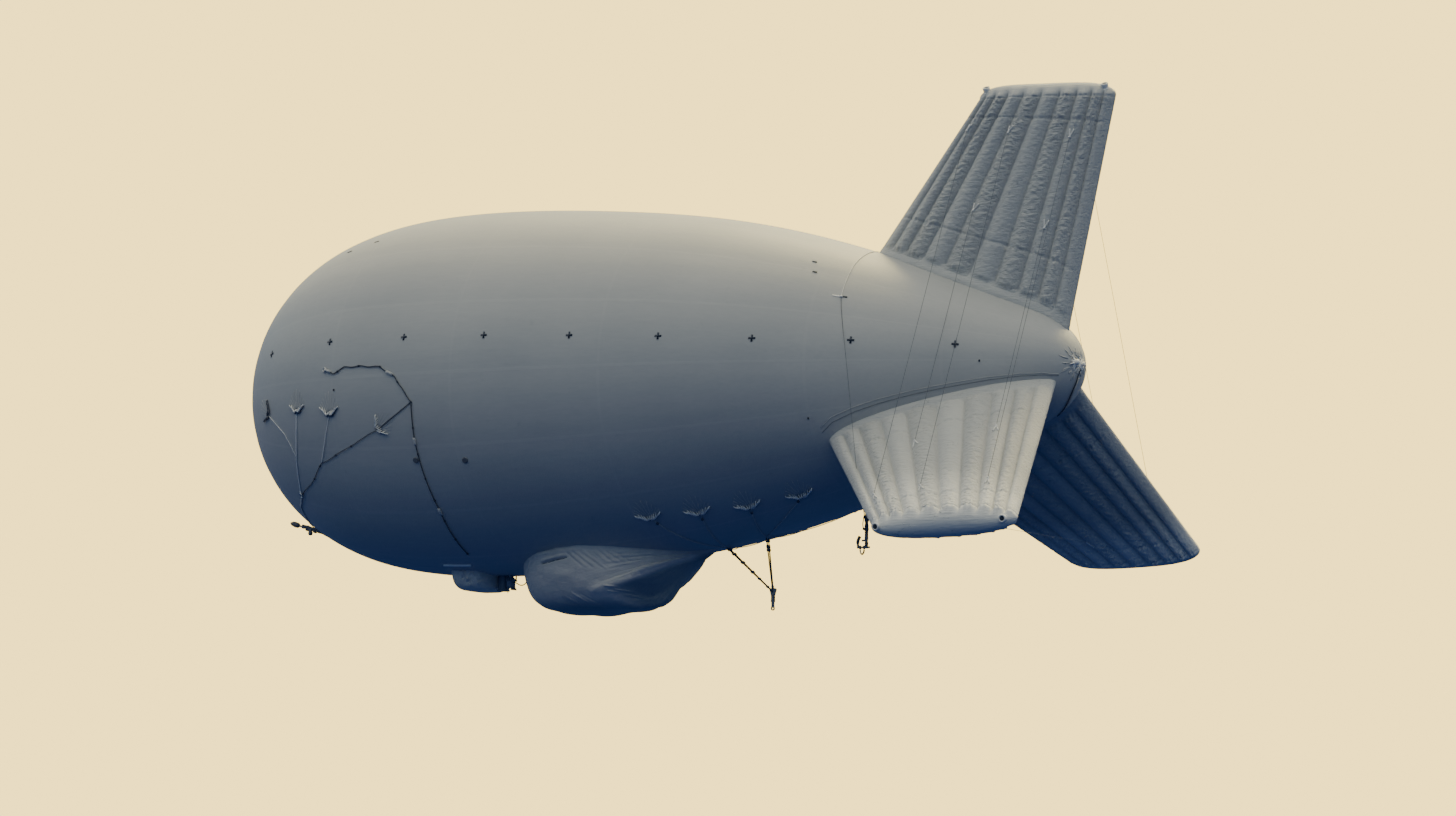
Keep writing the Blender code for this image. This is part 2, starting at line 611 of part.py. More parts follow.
def make_hook(looks):
    x, z = at(HOOK_X), HOOK_PIVOT_Z
    point, normal = on_hull(HOOK_X, 90)
    strap = block((x - STRAP_HALF, -0.006, z + 0.02), (x + STRAP_HALF, 0.006, -2.10))
    lug = plate(arc(x, z, 0.026, 180, 360, 8) + [(x + 0.034, z + 0.06), (x - 0.034, z + 0.06)], -0.010, 0.010)
    hole = rod(Vector((x, -0.05, z)), Vector((x, 0.05, z)), PIN_RADIUS + PIN_PLAY, 16)
    foot = column(point, normal, 0.12)
    assemble("hook_hanger", looks["rope"], strap, add=[lug], cut=[hole])
    assemble("hook_patch", looks["rope"], foot, on_skin=True, cut=[
        block((x - STRAP_HALF - GAP, -0.006 - GAP, -3), (x + STRAP_HALF + GAP, 0.006 + GAP, -2))])

    near, far = 0.016, 0.026
    cheek = arc(x, z, 0.022, 0, 180, 8) + [(x - 0.022, z - 0.07), (x + 0.022, z - 0.07)]
    pin = rod(Vector((x, -far - 0.006, z)), Vector((x, far + 0.006, z)), PIN_RADIUS, 16)
    bridge = block((x - 0.026, 0.002 - far, z - 0.085), (x + 0.026, far - 0.002, z - 0.045))
    side = block((x - 0.020, -0.020, z - 0.24), (x + 0.020, 0.020, z - 0.07))
    horn = swept([(x + dx, 0, z + dz) for dx, dz in HOOK_HORN], 0.022)
    bar = rod(Vector((x - 0.18, 0, z - 0.22)), Vector((x + 0.066, 0, z - 0.22)), 0.018, 12)
    tongue = block((x - 0.085, -0.016, z - 0.115), (x, 0.016, z - 0.085))
    hook = assemble(
        "hook_frame", looks["metal"], side, seat=False,
        add=[bridge, plate(cheek, -far, -near), plate(cheek, near, far), pin, horn, bar, tongue],
    )
    pivot(hook, (x, 0, z))

    # The bow hangs on the bar by two eyes that it turns in
    bow_x, bow_z = x - 0.0825, z - 0.22
    half = 0.040
    eyes = []
    for offset in (-half, half):
        ring = turned(((-0.010, 0.034), (0.010, 0.034)), Vector((bow_x + offset, 0, bow_z)), Vector((1, 0, 0)), 12)
        eyes.append(ring)
    run = [(bow_x - half, 0, bow_z - 0.028), (bow_x - 0.032, 0, bow_z - 0.09), (bow_x, 0, bow_z - 0.125),
           (bow_x + 0.032, 0, bow_z - 0.09), (bow_x + half, 0, bow_z - 0.028)]
    bore = rod(Vector((bow_x - 0.2, 0, bow_z)), Vector((bow_x + 0.2, 0, bow_z)), 0.018 + PIN_PLAY, 16)
    bow = assemble("hook_bow", looks["metal"], swept(run, 0.008), seat=False, add=eyes, cut=[bore])
    pivot(bow, (bow_x, 0, bow_z))


# Mooring probe


def make_nose(looks):
    foot, normal = on_hull(BOOM_FOOT, 90)
    shoe = rod(foot - normal * 0.12, foot + normal * 0.05, SHOE_RADIUS, 16)
    gap_round_shoe = rod(foot - normal * 0.2, foot + normal * 0.2, SHOE_RADIUS + GAP, 16)
    assemble("nose_patch", looks["rope"], column(foot, normal, 0.20), on_skin=True, cut=[gap_round_shoe])
    root = foot + normal * 0.03
    tip = Vector((at(BOOM_TIP[0]), 0, BOOM_TIP[1]))
    along = (tip - root).normalized()
    below = along.cross(Vector((0, 1, 0)))
    collar_at = tip - along * 0.10
    collar = turned(((-0.025, 0.030), (0.025, 0.030)), collar_at, along, 12)
    hub = tip - along * PULLEY_BACK + below * (BOOM_RADIUS + 0.007 + PULLEY_RADIUS)
    cheeks = []
    for low, high in ((-0.030, -0.022), (0.022, 0.030)):
        cheeks.append(plate(
            arc(hub.x, hub.z, 0.026, 180, 360, 6) + [(hub.x + 0.026, hub.z + 0.10), (hub.x - 0.026, hub.z + 0.10)],
            low, high,
        ))
    saddle = block((hub.x - 0.022, -0.027, hub.z + 0.062), (hub.x + 0.022, 0.027, hub.z + 0.094))
    axle = rod(Vector((hub.x, -0.034, hub.z)), Vector((hub.x, 0.034, hub.z)), PIN_RADIUS, 16)
    assemble(
        "nose_boom", looks["metal"], shoe, add=[rod(root, tip, BOOM_RADIUS), collar, saddle, *cheeks, axle]
    )
    head = turned(((0, 0.03), (0.03, 0.05), (0.10, 0.056), (0.17, 0.045), (0.22, 0.015)), tip + along * GAP, along, 12)
    assemble("nose_boom_head", looks["rubber"], head, seat=False)
    groove = (
        (-0.016, PULLEY_RADIUS), (-0.010, PULLEY_RADIUS), (0, PULLEY_RADIUS - 0.012), (0.010, PULLEY_RADIUS),
        (0.016, PULLEY_RADIUS),
    )
    wheel = turned(groove, hub, Vector((0, 1, 0)), 20)
    bore = rod(hub - Vector((0, 0.1, 0)), hub + Vector((0, 0.1, 0)), PIN_RADIUS + PIN_PLAY, 16)
    pivot(assemble("nose_pulley", looks["rubber"], wheel, seat=False, cut=[bore]), hub)


def make_nose_bridle(looks):
    for name, side in (("port", -1), ("starboard", 1)):
        posts = []
        more = []
        for line in NOSE_LINES:
            point, normal = on_hull(*line[0], side)
            posts.append(column(point, normal, NOSE_PATCH_RADIUS, 12))
            more.append(swept(along_hull(line, side, STAY_LIFT, 2), 0.006, 6))
            more.append(rod(point - normal * 0.03, point + normal * 0.031, 0.02, 8))
        ring_at, ring_normal = on_hull(*NOSE_RING, side, STAY_LIFT)
        more.append(rod(ring_at - ring_normal * 0.012, ring_at + ring_normal * 0.018, 0.035))
        assemble(f"nose_bridle_{name}", looks["rope"], together(posts), on_skin=True, add=more)


def make_small_ports(looks):
    for name, from_nose, below in FILL_PORTS:
        point, normal = on_hull(from_nose, below)
        body = turned(((-0.15, 0.055), (0.016, 0.055), (0.022, 0.045)), point, normal, 16)
        assemble(f"fill_port_{name}", looks["rubber"], body)
    point, normal = on_hull(*RELIEF_VALVE, 1)
    body = turned(((-0.15, 0.16), (0.03, 0.16), (0.03, 0.11), (0.055, 0.10)), point, normal, 24)
    assemble("relief_valve", looks["metal"], body)


def make_tail(looks):
    base = Vector((at(HULL_LENGTH), 0, 0))
    back = Vector((1, 0, 0))
    body = turned(((-0.3, 0.20), (-0.02, 0.15), (0.008, 0.06)), base, back, 16)
    assemble("tail_cap", looks["fabric"], body)
    sleeve = turned(((0, 0.030), (0.015, 0.036), (0.045, 0.034), (0.055, 0.02)), base + back * (0.008 + GAP), back, 12)
    assemble("tail_sleeve", looks["rope"], sleeve, seat=False)


for old in list(bpy.data.objects):
    bpy.data.objects.remove(old)

LOOKS = {
    "envelope": material("envelope_fabric", (0.36, 0.38, 0.38), 0.55),
    "fin": material("fin_fabric", (0.40, 0.41, 0.40), 0.55),
    "fabric": material("soft_fabric", (0.24, 0.28, 0.32), 0.8),
    "rope": material("webbing", (0.10, 0.13, 0.18), 0.85),
    "metal": material("anodised_metal", (0.05, 0.06, 0.08), 0.45, 0.6),
    "box": material("equipment_case", (0.04, 0.05, 0.08), 0.5),
    "rubber": material("black_rubber", (0.02, 0.03, 0.05), 0.6),
    "cable": material("cable_jacket", (0.02, 0.02, 0.03), 0.5),
}
HULL_CUTTER = place("hull_cutter", hull_body(GAP))
PAD_SKIN = place("pad_skin", hull_body(PAD))

make_envelope(LOOKS["envelope"])
make_fins(LOOKS["fin"], LOOKS["rubber"])
assemble("windscreen", LOOKS["fabric"], soft_body(WINDSCREEN))
assemble("equipment_bag", LOOKS["fabric"], soft_body(BAG))
pivot(make_blower(LOOKS["metal"], LOOKS["rubber"]), (at(BLOWER_X), 0, ROTOR_Z))
make_payload(LOOKS)
make_bridle(LOOKS)
make_tether_gear(LOOKS)
make_hook(LOOKS)
make_nose(LOOKS)
make_nose_bridle(LOOKS)
make_small_ports(LOOKS)
make_tail(LOOKS)
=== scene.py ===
# %% [markdown]
# # A tethered aerostat
# A tethered aerostat is a streamlined balloon that is moored while it flies. This script dresses the
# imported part: the envelope, its inflated fins, the windscreen under the belly, and the lines and fittings.
# Each section says what a piece is on the real object and why it is made the way it is.

import math

import bmesh
import bpy
import numpy as np
from mathutils import Matrix, Vector
from mathutils.bvhtree import BVHTree


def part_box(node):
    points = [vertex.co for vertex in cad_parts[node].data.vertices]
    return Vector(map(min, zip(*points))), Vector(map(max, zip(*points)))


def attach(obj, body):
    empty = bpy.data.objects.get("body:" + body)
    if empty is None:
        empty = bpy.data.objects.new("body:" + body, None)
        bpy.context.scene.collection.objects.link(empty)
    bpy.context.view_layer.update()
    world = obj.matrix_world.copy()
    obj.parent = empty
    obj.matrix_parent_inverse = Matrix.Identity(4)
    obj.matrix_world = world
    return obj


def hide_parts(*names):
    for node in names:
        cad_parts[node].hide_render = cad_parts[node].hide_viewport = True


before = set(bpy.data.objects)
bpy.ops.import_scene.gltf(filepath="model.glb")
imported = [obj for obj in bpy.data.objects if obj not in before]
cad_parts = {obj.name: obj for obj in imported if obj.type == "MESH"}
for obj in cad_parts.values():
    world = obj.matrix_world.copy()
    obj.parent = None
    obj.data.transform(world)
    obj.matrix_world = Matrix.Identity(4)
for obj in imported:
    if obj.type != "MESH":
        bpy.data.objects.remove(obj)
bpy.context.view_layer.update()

# %% [markdown]
# ## Camera
# The object hangs in the air, and the picture looks up at it from the ground. The lens is long, so
# near and far pieces keep almost the same scale. The three axes below are the camera's own.

# %% Camera
CAMERA_PLACE = (37.621, -57.357, -8.005)
CAMERA_RIGHT = (0.85638, 0.51601, 0.01856)
CAMERA_UP = (0.04199, -0.10541, 0.99354)
CAMERA_AHEAD = (-0.51463, 0.85007, 0.11194)
LENS = 93.13
SENSOR_WIDTH = 36
FARTHEST = 3000

camera_data = bpy.data.cameras.new("camera")
camera_data.sensor_width = SENSOR_WIDTH
camera_data.lens = LENS
camera_data.clip_end = FARTHEST
camera = bpy.data.objects.new("camera", camera_data)
bpy.context.scene.collection.objects.link(camera)
axes = [Vector(CAMERA_RIGHT), Vector(CAMERA_UP), -Vector(CAMERA_AHEAD)]
turn = Matrix([[axis[row] for axis in axes] for row in range(3)]).to_4x4()
camera.matrix_world = Matrix.Translation(CAMERA_PLACE) @ turn
bpy.context.scene.camera = camera
print("camera", round(Vector(CAMERA_PLACE).length, 1), "m from the object")

# %% [markdown]
# ## Studio
# The floor is a pale sweep that rises to a backdrop all round, so every view has a plain background.
# It is a disc with rings round it, each wider or higher than the last. Diffuse rays don't see it,
# because a pale floor would throw light up on the belly.

# %% Stage
FLOOR_HEIGHT = -8.3
# Columns: radius, and height over the floor
SWEEP_ROWS = ((120, 0), (170, 4), (215, 22), (240, 55), (250, 110), (250, 420))
SWEEP_SIDES = 96
PALE = (3.26, 2.36, 0.70)


def turns_of(count):
    """The angles of equal steps round a circle."""
    return [2 * math.pi * k / count for k in range(count)]


def link(name, mesh):
    """Puts a mesh in the scene as an object."""
    made = bpy.data.objects.new(name, mesh)
    bpy.context.scene.collection.objects.link(made)
    return made


def mesh_from(name, points, faces):
    mesh = bpy.data.meshes.new(name)
    mesh.from_pydata([tuple(map(float, p)) for p in points], [], faces)
    mesh.validate()
    mesh.shade_smooth()
    return mesh


sweep_points = [(0, 0, FLOOR_HEIGHT)]
for radius, rise in SWEEP_ROWS:
    for angle in turns_of(SWEEP_SIDES):
        sweep_points.append((radius * math.cos(angle), radius * math.sin(angle), FLOOR_HEIGHT + rise))
sweep_faces = []
for k in range(SWEEP_SIDES):
    after = (k + 1) % SWEEP_SIDES
    sweep_faces.append((0, 1 + k, 1 + after))
    for row in range(len(SWEEP_ROWS) - 1):
        near, far = 1 + row * SWEEP_SIDES, 1 + (row + 1) * SWEEP_SIDES
        sweep_faces.append((near + k, far + k, far + after, near + after))
sweep = link("sweep", mesh_from("sweep", sweep_points, sweep_faces))
sweep_look = bpy.data.materials.new("pale_sweep")
sweep_look.use_nodes = True
sweep_shader = sweep_look.node_tree.nodes["Principled BSDF"]
SWEEP_SOCKETS = (
    ("Base Color", (0, 0, 0, 1)), ("Roughness", 1.0), ("Specular IOR Level", 0.0),
    ("Emission Color", (*PALE, 1)), ("Emission Strength", 1.0),
)
for socket, value in SWEEP_SOCKETS:
    sweep_shader.inputs[socket].default_value = value
sweep.data.materials.append(sweep_look)
sweep.visible_diffuse = False
sweep.visible_glossy = False
sweep.visible_shadow = False
print("sweep", len(sweep.data.polygons), "faces")

# %% [markdown]
# ## Light
# The sky is a ramp over the height that a ray comes from. It is pale above and deep blue below, which
# gives the belly the colour that a balloon has against a bright sky. One big soft light stands high on
# the starboard side, so most of the port side has the light of the sky alone.

# %% Light
# Columns: degrees above the horizon, and the light from there
SKY = (
    (-90, (0.000, 0.004, 0.080)), (-45, (0.021, 0.041, 0.118)), (-28, (0.011, 0.048, 0.134)),
    (-12, (0.030, 0.046, 0.145)), (5, (0.045, 0.075, 0.220)), (15, (0.210, 0.370, 0.500)),
    (30, (0.760, 0.850, 0.830)), (50, (1.330, 1.240, 1.050)), (90, (1.300, 1.260, 1.000)),
)
SKY_STRENGTH = 2.4
SUN_COLOUR = (4.70, 3.80, 1.50)
SUN_FROM = Vector((0.00, 0.62, 0.78))
SUN_SPREAD = 36

world = bpy.data.worlds.new("studio")
bpy.context.scene.world = world
world.use_nodes = True
world_tree = world.node_tree
background = world_tree.nodes["Background"]
direction = world_tree.nodes.new("ShaderNodeTexCoord")
height = world_tree.nodes.new("ShaderNodeSeparateXYZ")
sky = world_tree.nodes.new("ShaderNodeValToRGB")
lift = world_tree.nodes.new("ShaderNodeMapRange")
lift.inputs["From Min"].default_value = -1.0
world_tree.links.new(direction.outputs["Generated"], height.inputs[0])
world_tree.links.new(height.outputs["Z"], lift.inputs["Value"])
world_tree.links.new(lift.outputs[0], sky.inputs[0])
world_tree.links.new(sky.outputs[0], background.inputs["Color"])
while len(sky.color_ramp.elements) < len(SKY):
    sky.color_ramp.elements.new(1.0)
for stop, (elevation, colour) in zip(sky.color_ramp.elements, SKY):
    stop.position = (1 + math.sin(math.radians(elevation))) / 2
    stop.color = (*[c / SKY_STRENGTH for c in colour], 1)
background.inputs["Strength"].default_value = SKY_STRENGTH

sun_data = bpy.data.lights.new("sun", "SUN")
sun_data.energy = SUN_COLOUR[0]
sun_data.angle = math.radians(SUN_SPREAD)
sun_data.color = [c / SUN_COLOUR[0] for c in SUN_COLOUR]
sun = bpy.data.objects.new("sun", sun_data)
bpy.context.scene.collection.objects.link(sun)
sun.rotation_mode = "QUATERNION"
sun.rotation_quaternion = SUN_FROM.to_track_quat("Z", "Y")
print("sky stops", [round(stop.position, 2) for stop in sky.color_ramp.elements])

# %% [markdown]
# ## The hull's shape
# The hull is a body of revolution. Its profile is known at a few stations, and a spline through the
# squares of the radii rounds both ends. Every other piece is placed on it by its distance from the nose
# and its angle below the horizontal, so this comes first.

# %% Hull profile
HULL_LENGTH = 17.0
NOSE_X = -7.1
WIDEST = 5.10
SLOPE_STEP = 0.01
HULL_STATIONS = (
    (0.00, 0.00), (0.35, 1.352), (0.85, 2.066), (1.70, 2.727), (2.60, 3.098), (3.40, 3.270),
    (5.10, 3.377), (7.65, 3.245), (10.20, 2.920), (12.75, 2.273), (14.45, 1.652), (15.40, 1.292),
    (16.10, 1.015), (16.60, 0.735), (17.00, 0.00),
)
station_x = np.array([row[0] for row in HULL_STATIONS])
station_square = np.array([row[1] ** 2 for row in HULL_STATIONS])


def spline_bends(x, y):
    """Second derivatives of a natural cubic spline at its points."""
    count = len(x)
    h = np.diff(x)
    system = np.eye(count)
    right = np.zeros(count)
    for i in range(1, count - 1):
        system[i, i - 1:i + 2] = h[i - 1], 2 * (h[i - 1] + h[i]), h[i]
        right[i] = 6 * ((y[i + 1] - y[i]) / h[i] - (y[i] - y[i - 1]) / h[i - 1])
    return np.linalg.solve(system, right)


station_bend = spline_bends(station_x, station_square)


def hull_radius(s):
    """Radius of the hull at distances s from the nose."""
    s = np.clip(np.asarray(s, float), 0, HULL_LENGTH)
    i = np.clip(np.searchsorted(station_x, s, side="right") - 1, 0, len(station_x) - 2)
    h = station_x[i + 1] - station_x[i]
    a = (station_x[i + 1] - s) / h
    b = 1 - a
    bend = ((a ** 3 - a) * station_bend[i] + (b ** 3 - b) * station_bend[i + 1]) * h * h / 6
    return np.sqrt(np.maximum(a * station_square[i] + b * station_square[i + 1] + bend, 0))


def hull_slope(s):
    """How fast the radius grows with the distance from the nose."""
    s = np.asarray(s, float)
    low, high = np.clip(s - SLOPE_STEP, 0, None), np.clip(s + SLOPE_STEP, None, HULL_LENGTH)
    return (hull_radius(high) - hull_radius(low)) / (high - low)


def on_hull(s, below, side=-1, lift=0.0):
    """A point on the hull and its outward normal. side is -1 for port and 1 for starboard."""
    angle = math.radians(below)
    outward = Vector((0, side * math.cos(angle), -math.sin(angle)))
    normal = (outward - Vector((float(hull_slope(s)), 0, 0))).normalized()
    return Vector((NOSE_X + s, 0, 0)) + outward * float(hull_radius(s)) + normal * lift, normal


print("hull radius at its widest", round(float(hull_radius(WIDEST)), 3), "m")

# %% [markdown]
# ## A small kit for materials
# Every finish below is built from nodes: noise and simple maths on Object coordinates. Colour and
# bump that vary go in by links. A value that is the same all over is set on the shader itself.

# %% Node helpers
class Finish:
    """A material whose nodes are added one line at a time."""

    def __init__(self, name, roughness=0.6, metallic=0.0, sheen=0.0, specular=0.5):
        self.material = bpy.data.materials.new(name)
        self.material.use_nodes = True
        self.tree = self.material.node_tree
        self.shader = self.tree.nodes["Principled BSDF"]
        self.shader.inputs["Roughness"].default_value = roughness
        self.shader.inputs["Metallic"].default_value = metallic
        self.shader.inputs["Sheen Weight"].default_value = sheen
        self.shader.inputs["Specular IOR Level"].default_value = specular
        self.place = self.tree.nodes.new("ShaderNodeTexCoord").outputs["Object"]

    def add(self, kind, inputs=(), **settings):
        node = self.tree.nodes.new(kind)
        for key, value in settings.items():
            setattr(node, key, value)
        for key, value in dict(inputs).items():
            if isinstance(value, bpy.types.NodeSocket):
                self.tree.links.new(value, node.inputs[key])
            else:
                node.inputs[key].default_value = value
        return node

    def math(self, operation, a, b=0.0, c=0.0):
        return self.add("ShaderNodeMath", {0: a, 1: b, 2: c}, operation=operation).outputs[0]

    def plus(self, a, b):
        return self.math("ADD", a, b)

    def minus(self, a, b):
        return self.math("SUBTRACT", a, b)

    def times(self, a, b):
        return self.math("MULTIPLY", a, b)

    def hypot(self, a, b):
        """The length of the diagonal of two values."""
        return self.math("SQRT", self.plus(self.math("POWER", a, 2.0), self.math("POWER", b, 2.0)))

    def axes(self):
        """X, Y and Z as three values."""
        return self.add("ShaderNodeSeparateXYZ", {0: self.place}).outputs

    def attribute(self, name):
        return self.add("ShaderNodeAttribute", attribute_name=name).outputs["Fac"]

    def stretch(self, scale):
        return self.add("ShaderNodeMapping", {"Vector": self.place, "Scale": scale}).outputs[0]

    def noise(self, scale, detail=4.0, roughness=0.55, vector=None):
        inputs = {"Vector": vector or self.place, "Scale": scale, "Detail": detail, "Roughness": roughness}
        return self.add("ShaderNodeTexNoise", inputs).outputs["Fac"]

    def span(self, value, low, high, to_low=0.0, to_high=1.0):
        """Maps one range of values to another, and stops at both ends."""
        inputs = {"Value": value, "From Min": low, "From Max": high, "To Min": to_low, "To Max": to_high}
        return self.add("ShaderNodeMapRange", inputs).outputs[0]

    def near(self, value, centre, reach):
        """One at the centre, and zero from this far away."""
        return self.span(self.math("ABSOLUTE", self.minus(value, centre)), reach, 0.0)

    def blend(self, share, a, b, mode="MIX"):
        made = self.add("ShaderNodeMix", {0: share, 6: a, 7: b}, data_type="RGBA", blend_type=mode)
        return made.outputs[2]

    def tint(self, colour, value, strength, towards):
        """A colour moved towards another by a value times a strength."""
        return self.blend(self.times(value, strength), colour, towards)

    def colour(self, socket):
        self.tree.links.new(socket, self.shader.inputs["Base Color"])

    def bump(self, height, distance, strength=1.0, onto=None):
        inputs = {"Height": height, "Distance": distance, "Strength": strength}
        if onto is not None:
            inputs["Normal"] = onto
        made = self.add("ShaderNodeBump", inputs).outputs[0]
        self.tree.links.new(made, self.shader.inputs["Normal"])
        return made


def rgb(red, green, blue):
    return (red, green, blue, 1.0)


# %% [markdown]
# ## Envelope
# The envelope is laminated cloth, cut in sixteen long gores that are taped together, and gas pressure
# keeps it smooth. Each gore stands out a few millimetres between its tapes. At the tail the cloth is
# gathered and tied, which leaves short pleats. The solid's forty flat sides are too coarse for a
# surface this smooth, so a fine skin takes its place. It is a grid of rings; the pillows are added to the
# radius and the pleats to the distance along the hull, where they follow the cloth exactly.

# %% Envelope skin
GORES = 16
SKIN_SIDES = 256
SKIN_RINGS = 200
PLEATS = 19
PILLOW_HEIGHT = 0.0025
PLEAT_DEPTH = 0.012
# The ring that the pleats are deepest at, and how wide their band is
PLEAT_RADIUS, PLEAT_BAND = 0.13, 0.12
SKIN_INSET = 0.001


def closed_skin(rings, start, end):
    """Points and faces of a body through equal rings, with a point at each end."""
    count, sides = len(rings), len(rings[0])
    points = [start] + [p for ring in rings for p in ring] + [end]
    faces = []
    for k in range(sides):
        after = (k + 1) % sides
        faces.append((0, 1 + after, 1 + k))
        last = 1 + (count - 1) * sides
        faces.append((len(points) - 1, last + k, last + after))
        for row in range(count - 1):
            near, far = 1 + row * sides, 1 + (row + 1) * sides
            faces.append((near + k, near + after, far + after, far + k))
    return points, faces


def put_right(mesh):
    """Turns all faces outwards."""
    work = bmesh.new()
    work.from_mesh(mesh)
    bmesh.ops.remove_doubles(work, verts=work.verts, dist=1e-6)
    bmesh.ops.recalc_face_normals(work, faces=work.faces)
    work.to_mesh(mesh)
    work.free()
    mesh.shade_smooth()


angles = 2 * np.pi * np.arange(SKIN_SIDES) / SKIN_SIDES
hull_rings = []
for k in range(1, SKIN_RINGS):
    s = HULL_LENGTH / 2 * (1 - math.cos(math.pi * k / SKIN_RINGS))
    base = float(hull_radius(s))
    pillow = PILLOW_HEIGHT * min(base / 2.0, 1.0) * (1 - np.abs(np.cos(angles * GORES / 2)) ** 6 * 1.6)
    at_tail = HULL_LENGTH - s < 1.0
    pleat_depth = PLEAT_DEPTH * math.exp(-((base - PLEAT_RADIUS) / PLEAT_BAND) ** 2) if at_tail else 0.0
    pleat_wave = np.sin(angles * PLEATS + 1.7 * np.sin(angles * 3))
    pleats = pleat_depth * pleat_wave * (0.6 + 0.4 * np.sin(angles * 5 + 1))
    radius = base + pillow - SKIN_INSET
    x = NOSE_X + s + pleats
    hull_rings.append([(x[i], radius[i] * math.cos(a), radius[i] * math.sin(a))
                       for i, a in enumerate(angles)])
skin_points, skin_faces = closed_skin(hull_rings, (NOSE_X, 0, 0), (NOSE_X + HULL_LENGTH, 0, 0))
envelope_skin = link("envelope_skin", mesh_from("envelope_skin", skin_points, skin_faces))
put_right(envelope_skin.data)
print("envelope skin", len(envelope_skin.data.polygons), "faces")

# %% [markdown]
# The cloth is pale grey with a satin face. Tapes over the gore seams are a shade lighter and a fraction
# of a millimetre proud, and rings of tape join the gores' lengths. The weave is too fine to model, so
# it is bump, with long soft streaks and a few stains from handling.

# %% Envelope cloth
RING_SEAMS = (1.15, 3.62, 6.25, 9.20, 12.84, 15.05)
# Distances from a seam at which its tape ends, and at which it is whole
TAPE_EDGES = (0.030, 0.024)
GORE_RADIUS = 3.0
envelope_cloth = Finish("envelope_cloth", roughness=0.52, sheen=0.15, specular=0.5)
x, y, z = envelope_cloth.axes()
around = envelope_cloth.math("ARCTAN2", z, y)
gore = envelope_cloth.times(around, GORES / (2 * math.pi))
in_gore = envelope_cloth.math("FRACT", envelope_cloth.plus(gore, 0.5))
to_seam = envelope_cloth.math("ABSOLUTE", envelope_cloth.minus(in_gore, 0.5))
distance = envelope_cloth.times(to_seam, 2 * math.pi * GORE_RADIUS / GORES)
tape = envelope_cloth.span(distance, *TAPE_EDGES)
for seam in RING_SEAMS:
    to_ring = envelope_cloth.math("ABSOLUTE", envelope_cloth.minus(x, NOSE_X + seam))
    ring = envelope_cloth.span(to_ring, *TAPE_EDGES)
    tape = envelope_cloth.math("MAXIMUM", tape, envelope_cloth.times(ring, 0.6))
stain = envelope_cloth.span(envelope_cloth.noise(0.55, 5.0), 0.35, 0.75)
streak = envelope_cloth.noise(2.2, 3.0, vector=envelope_cloth.stretch((0.25, 1.0, 1.0)))
specks = envelope_cloth.span(envelope_cloth.noise(5.0, 2.0), 0.70, 0.80)
cloth_colour = envelope_cloth.blend(stain, rgb(0.445, 0.450, 0.440), rgb(0.395, 0.405, 0.405))
cloth_colour = envelope_cloth.tint(cloth_colour, streak, 0.16, rgb(0.52, 0.52, 0.50))
threads = envelope_cloth.noise(9.0, 4.0, vector=envelope_cloth.stretch((0.4, 2.5, 2.5)))
thread_share = envelope_cloth.span(threads, 0.4, 0.7, 0.0, 0.22)
cloth_colour = envelope_cloth.blend(thread_share, cloth_colour, rgb(0.35, 0.36, 0.365))
cloth_colour = envelope_cloth.tint(cloth_colour, specks, 0.25, rgb(0.30, 0.31, 0.32))
cloth_colour = envelope_cloth.tint(cloth_colour, tape, 0.16, rgb(0.56, 0.56, 0.53))
envelope_cloth.colour(cloth_colour)
weave = envelope_cloth.noise(90.0, 2.0)
ripple = envelope_cloth.noise(3.0, 4.0, vector=envelope_cloth.stretch((0.35, 1.6, 1.6)))
relief = envelope_cloth.plus(envelope_cloth.times(weave, 0.0006), envelope_cloth.times(ripple, 0.006))
relief = envelope_cloth.plus(relief, envelope_cloth.times(tape, 0.0006))
envelope_cloth.bump(relief, 1.0, 0.6)
envelope_skin.data.materials.append(envelope_cloth.material)
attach(envelope_skin, "root")
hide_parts("envelope")
print("envelope cloth has", len(envelope_cloth.tree.nodes), "nodes")

# %% [markdown]
# ## Fins
# Each fin is an air-filled bag with ten lobes from root to tip, because threads inside hold its two
# faces together along the lines between them. A smooth skirt joins it to the hull, and a smooth cap
# closes the tip. Where a lobe ends at a seam, its cloth puckers. The outline is ruled between the root
# on the hull and the tip seam, as on the solid, and the lobes, puckers and cross wrinkles are added to
# the thickness.

# %% Fin sizes
FIN_ROOT = (13.06, 16.75)
FIN_TIP_FORE = np.array((15.00, 4.73))
FIN_TIP_AFT = np.array((17.60, 4.60))
FIN_RIBS = 10
FIN_HALF = (0.30, 0.26)
FIN_LOBE = 0.095
FIN_VALLEY = 0.042
FIN_FLARE = 0.055
LOBE_STEPS = 16
CRUMPLED = (0.35, 0.5, 1.0, 0.35, 1.0, 0.30, 0.9, 0.5, 0.8, 0.4)
SKIRT_CRUMPLE = 0.45
# Columns: share of the way to the tip, and how deep the seam pinches the lobes
CROSS_SEAMS = ((0.235, 0.020), (0.875, 0.020), (0.050, 0.004), (0.990, 0.007))
# Rows of points as shares of the way from the hull to the tip seam, closer together near both ends
FIN_ROWS = np.concatenate([[-0.09, 0.0], np.linspace(0.006, 0.10, 16), np.linspace(0.108, 0.93, 132),
                           np.linspace(0.936, 1.0, 16)])
SKIRT_ROWS = 6
CAP_STEPS = 8
# Columns: name, angle above the port horizontal, offset across the fin's plane
FINS = (("upper", 90.0, 0.0), ("port", -39.7, -0.04), ("starboard", 219.7, 0.04))


def smooth_step(value, low, high):
    t = np.clip((np.asarray(value, float) - low) / (high - low), 0, 1)
    return t * t * (3 - 2 * t)


def rib_place(share):
    """Place along the chord, which spaces the lobes closer at both edges."""
    return share - 0.35 * np.sin(2 * np.pi * share) / (2 * np.pi)


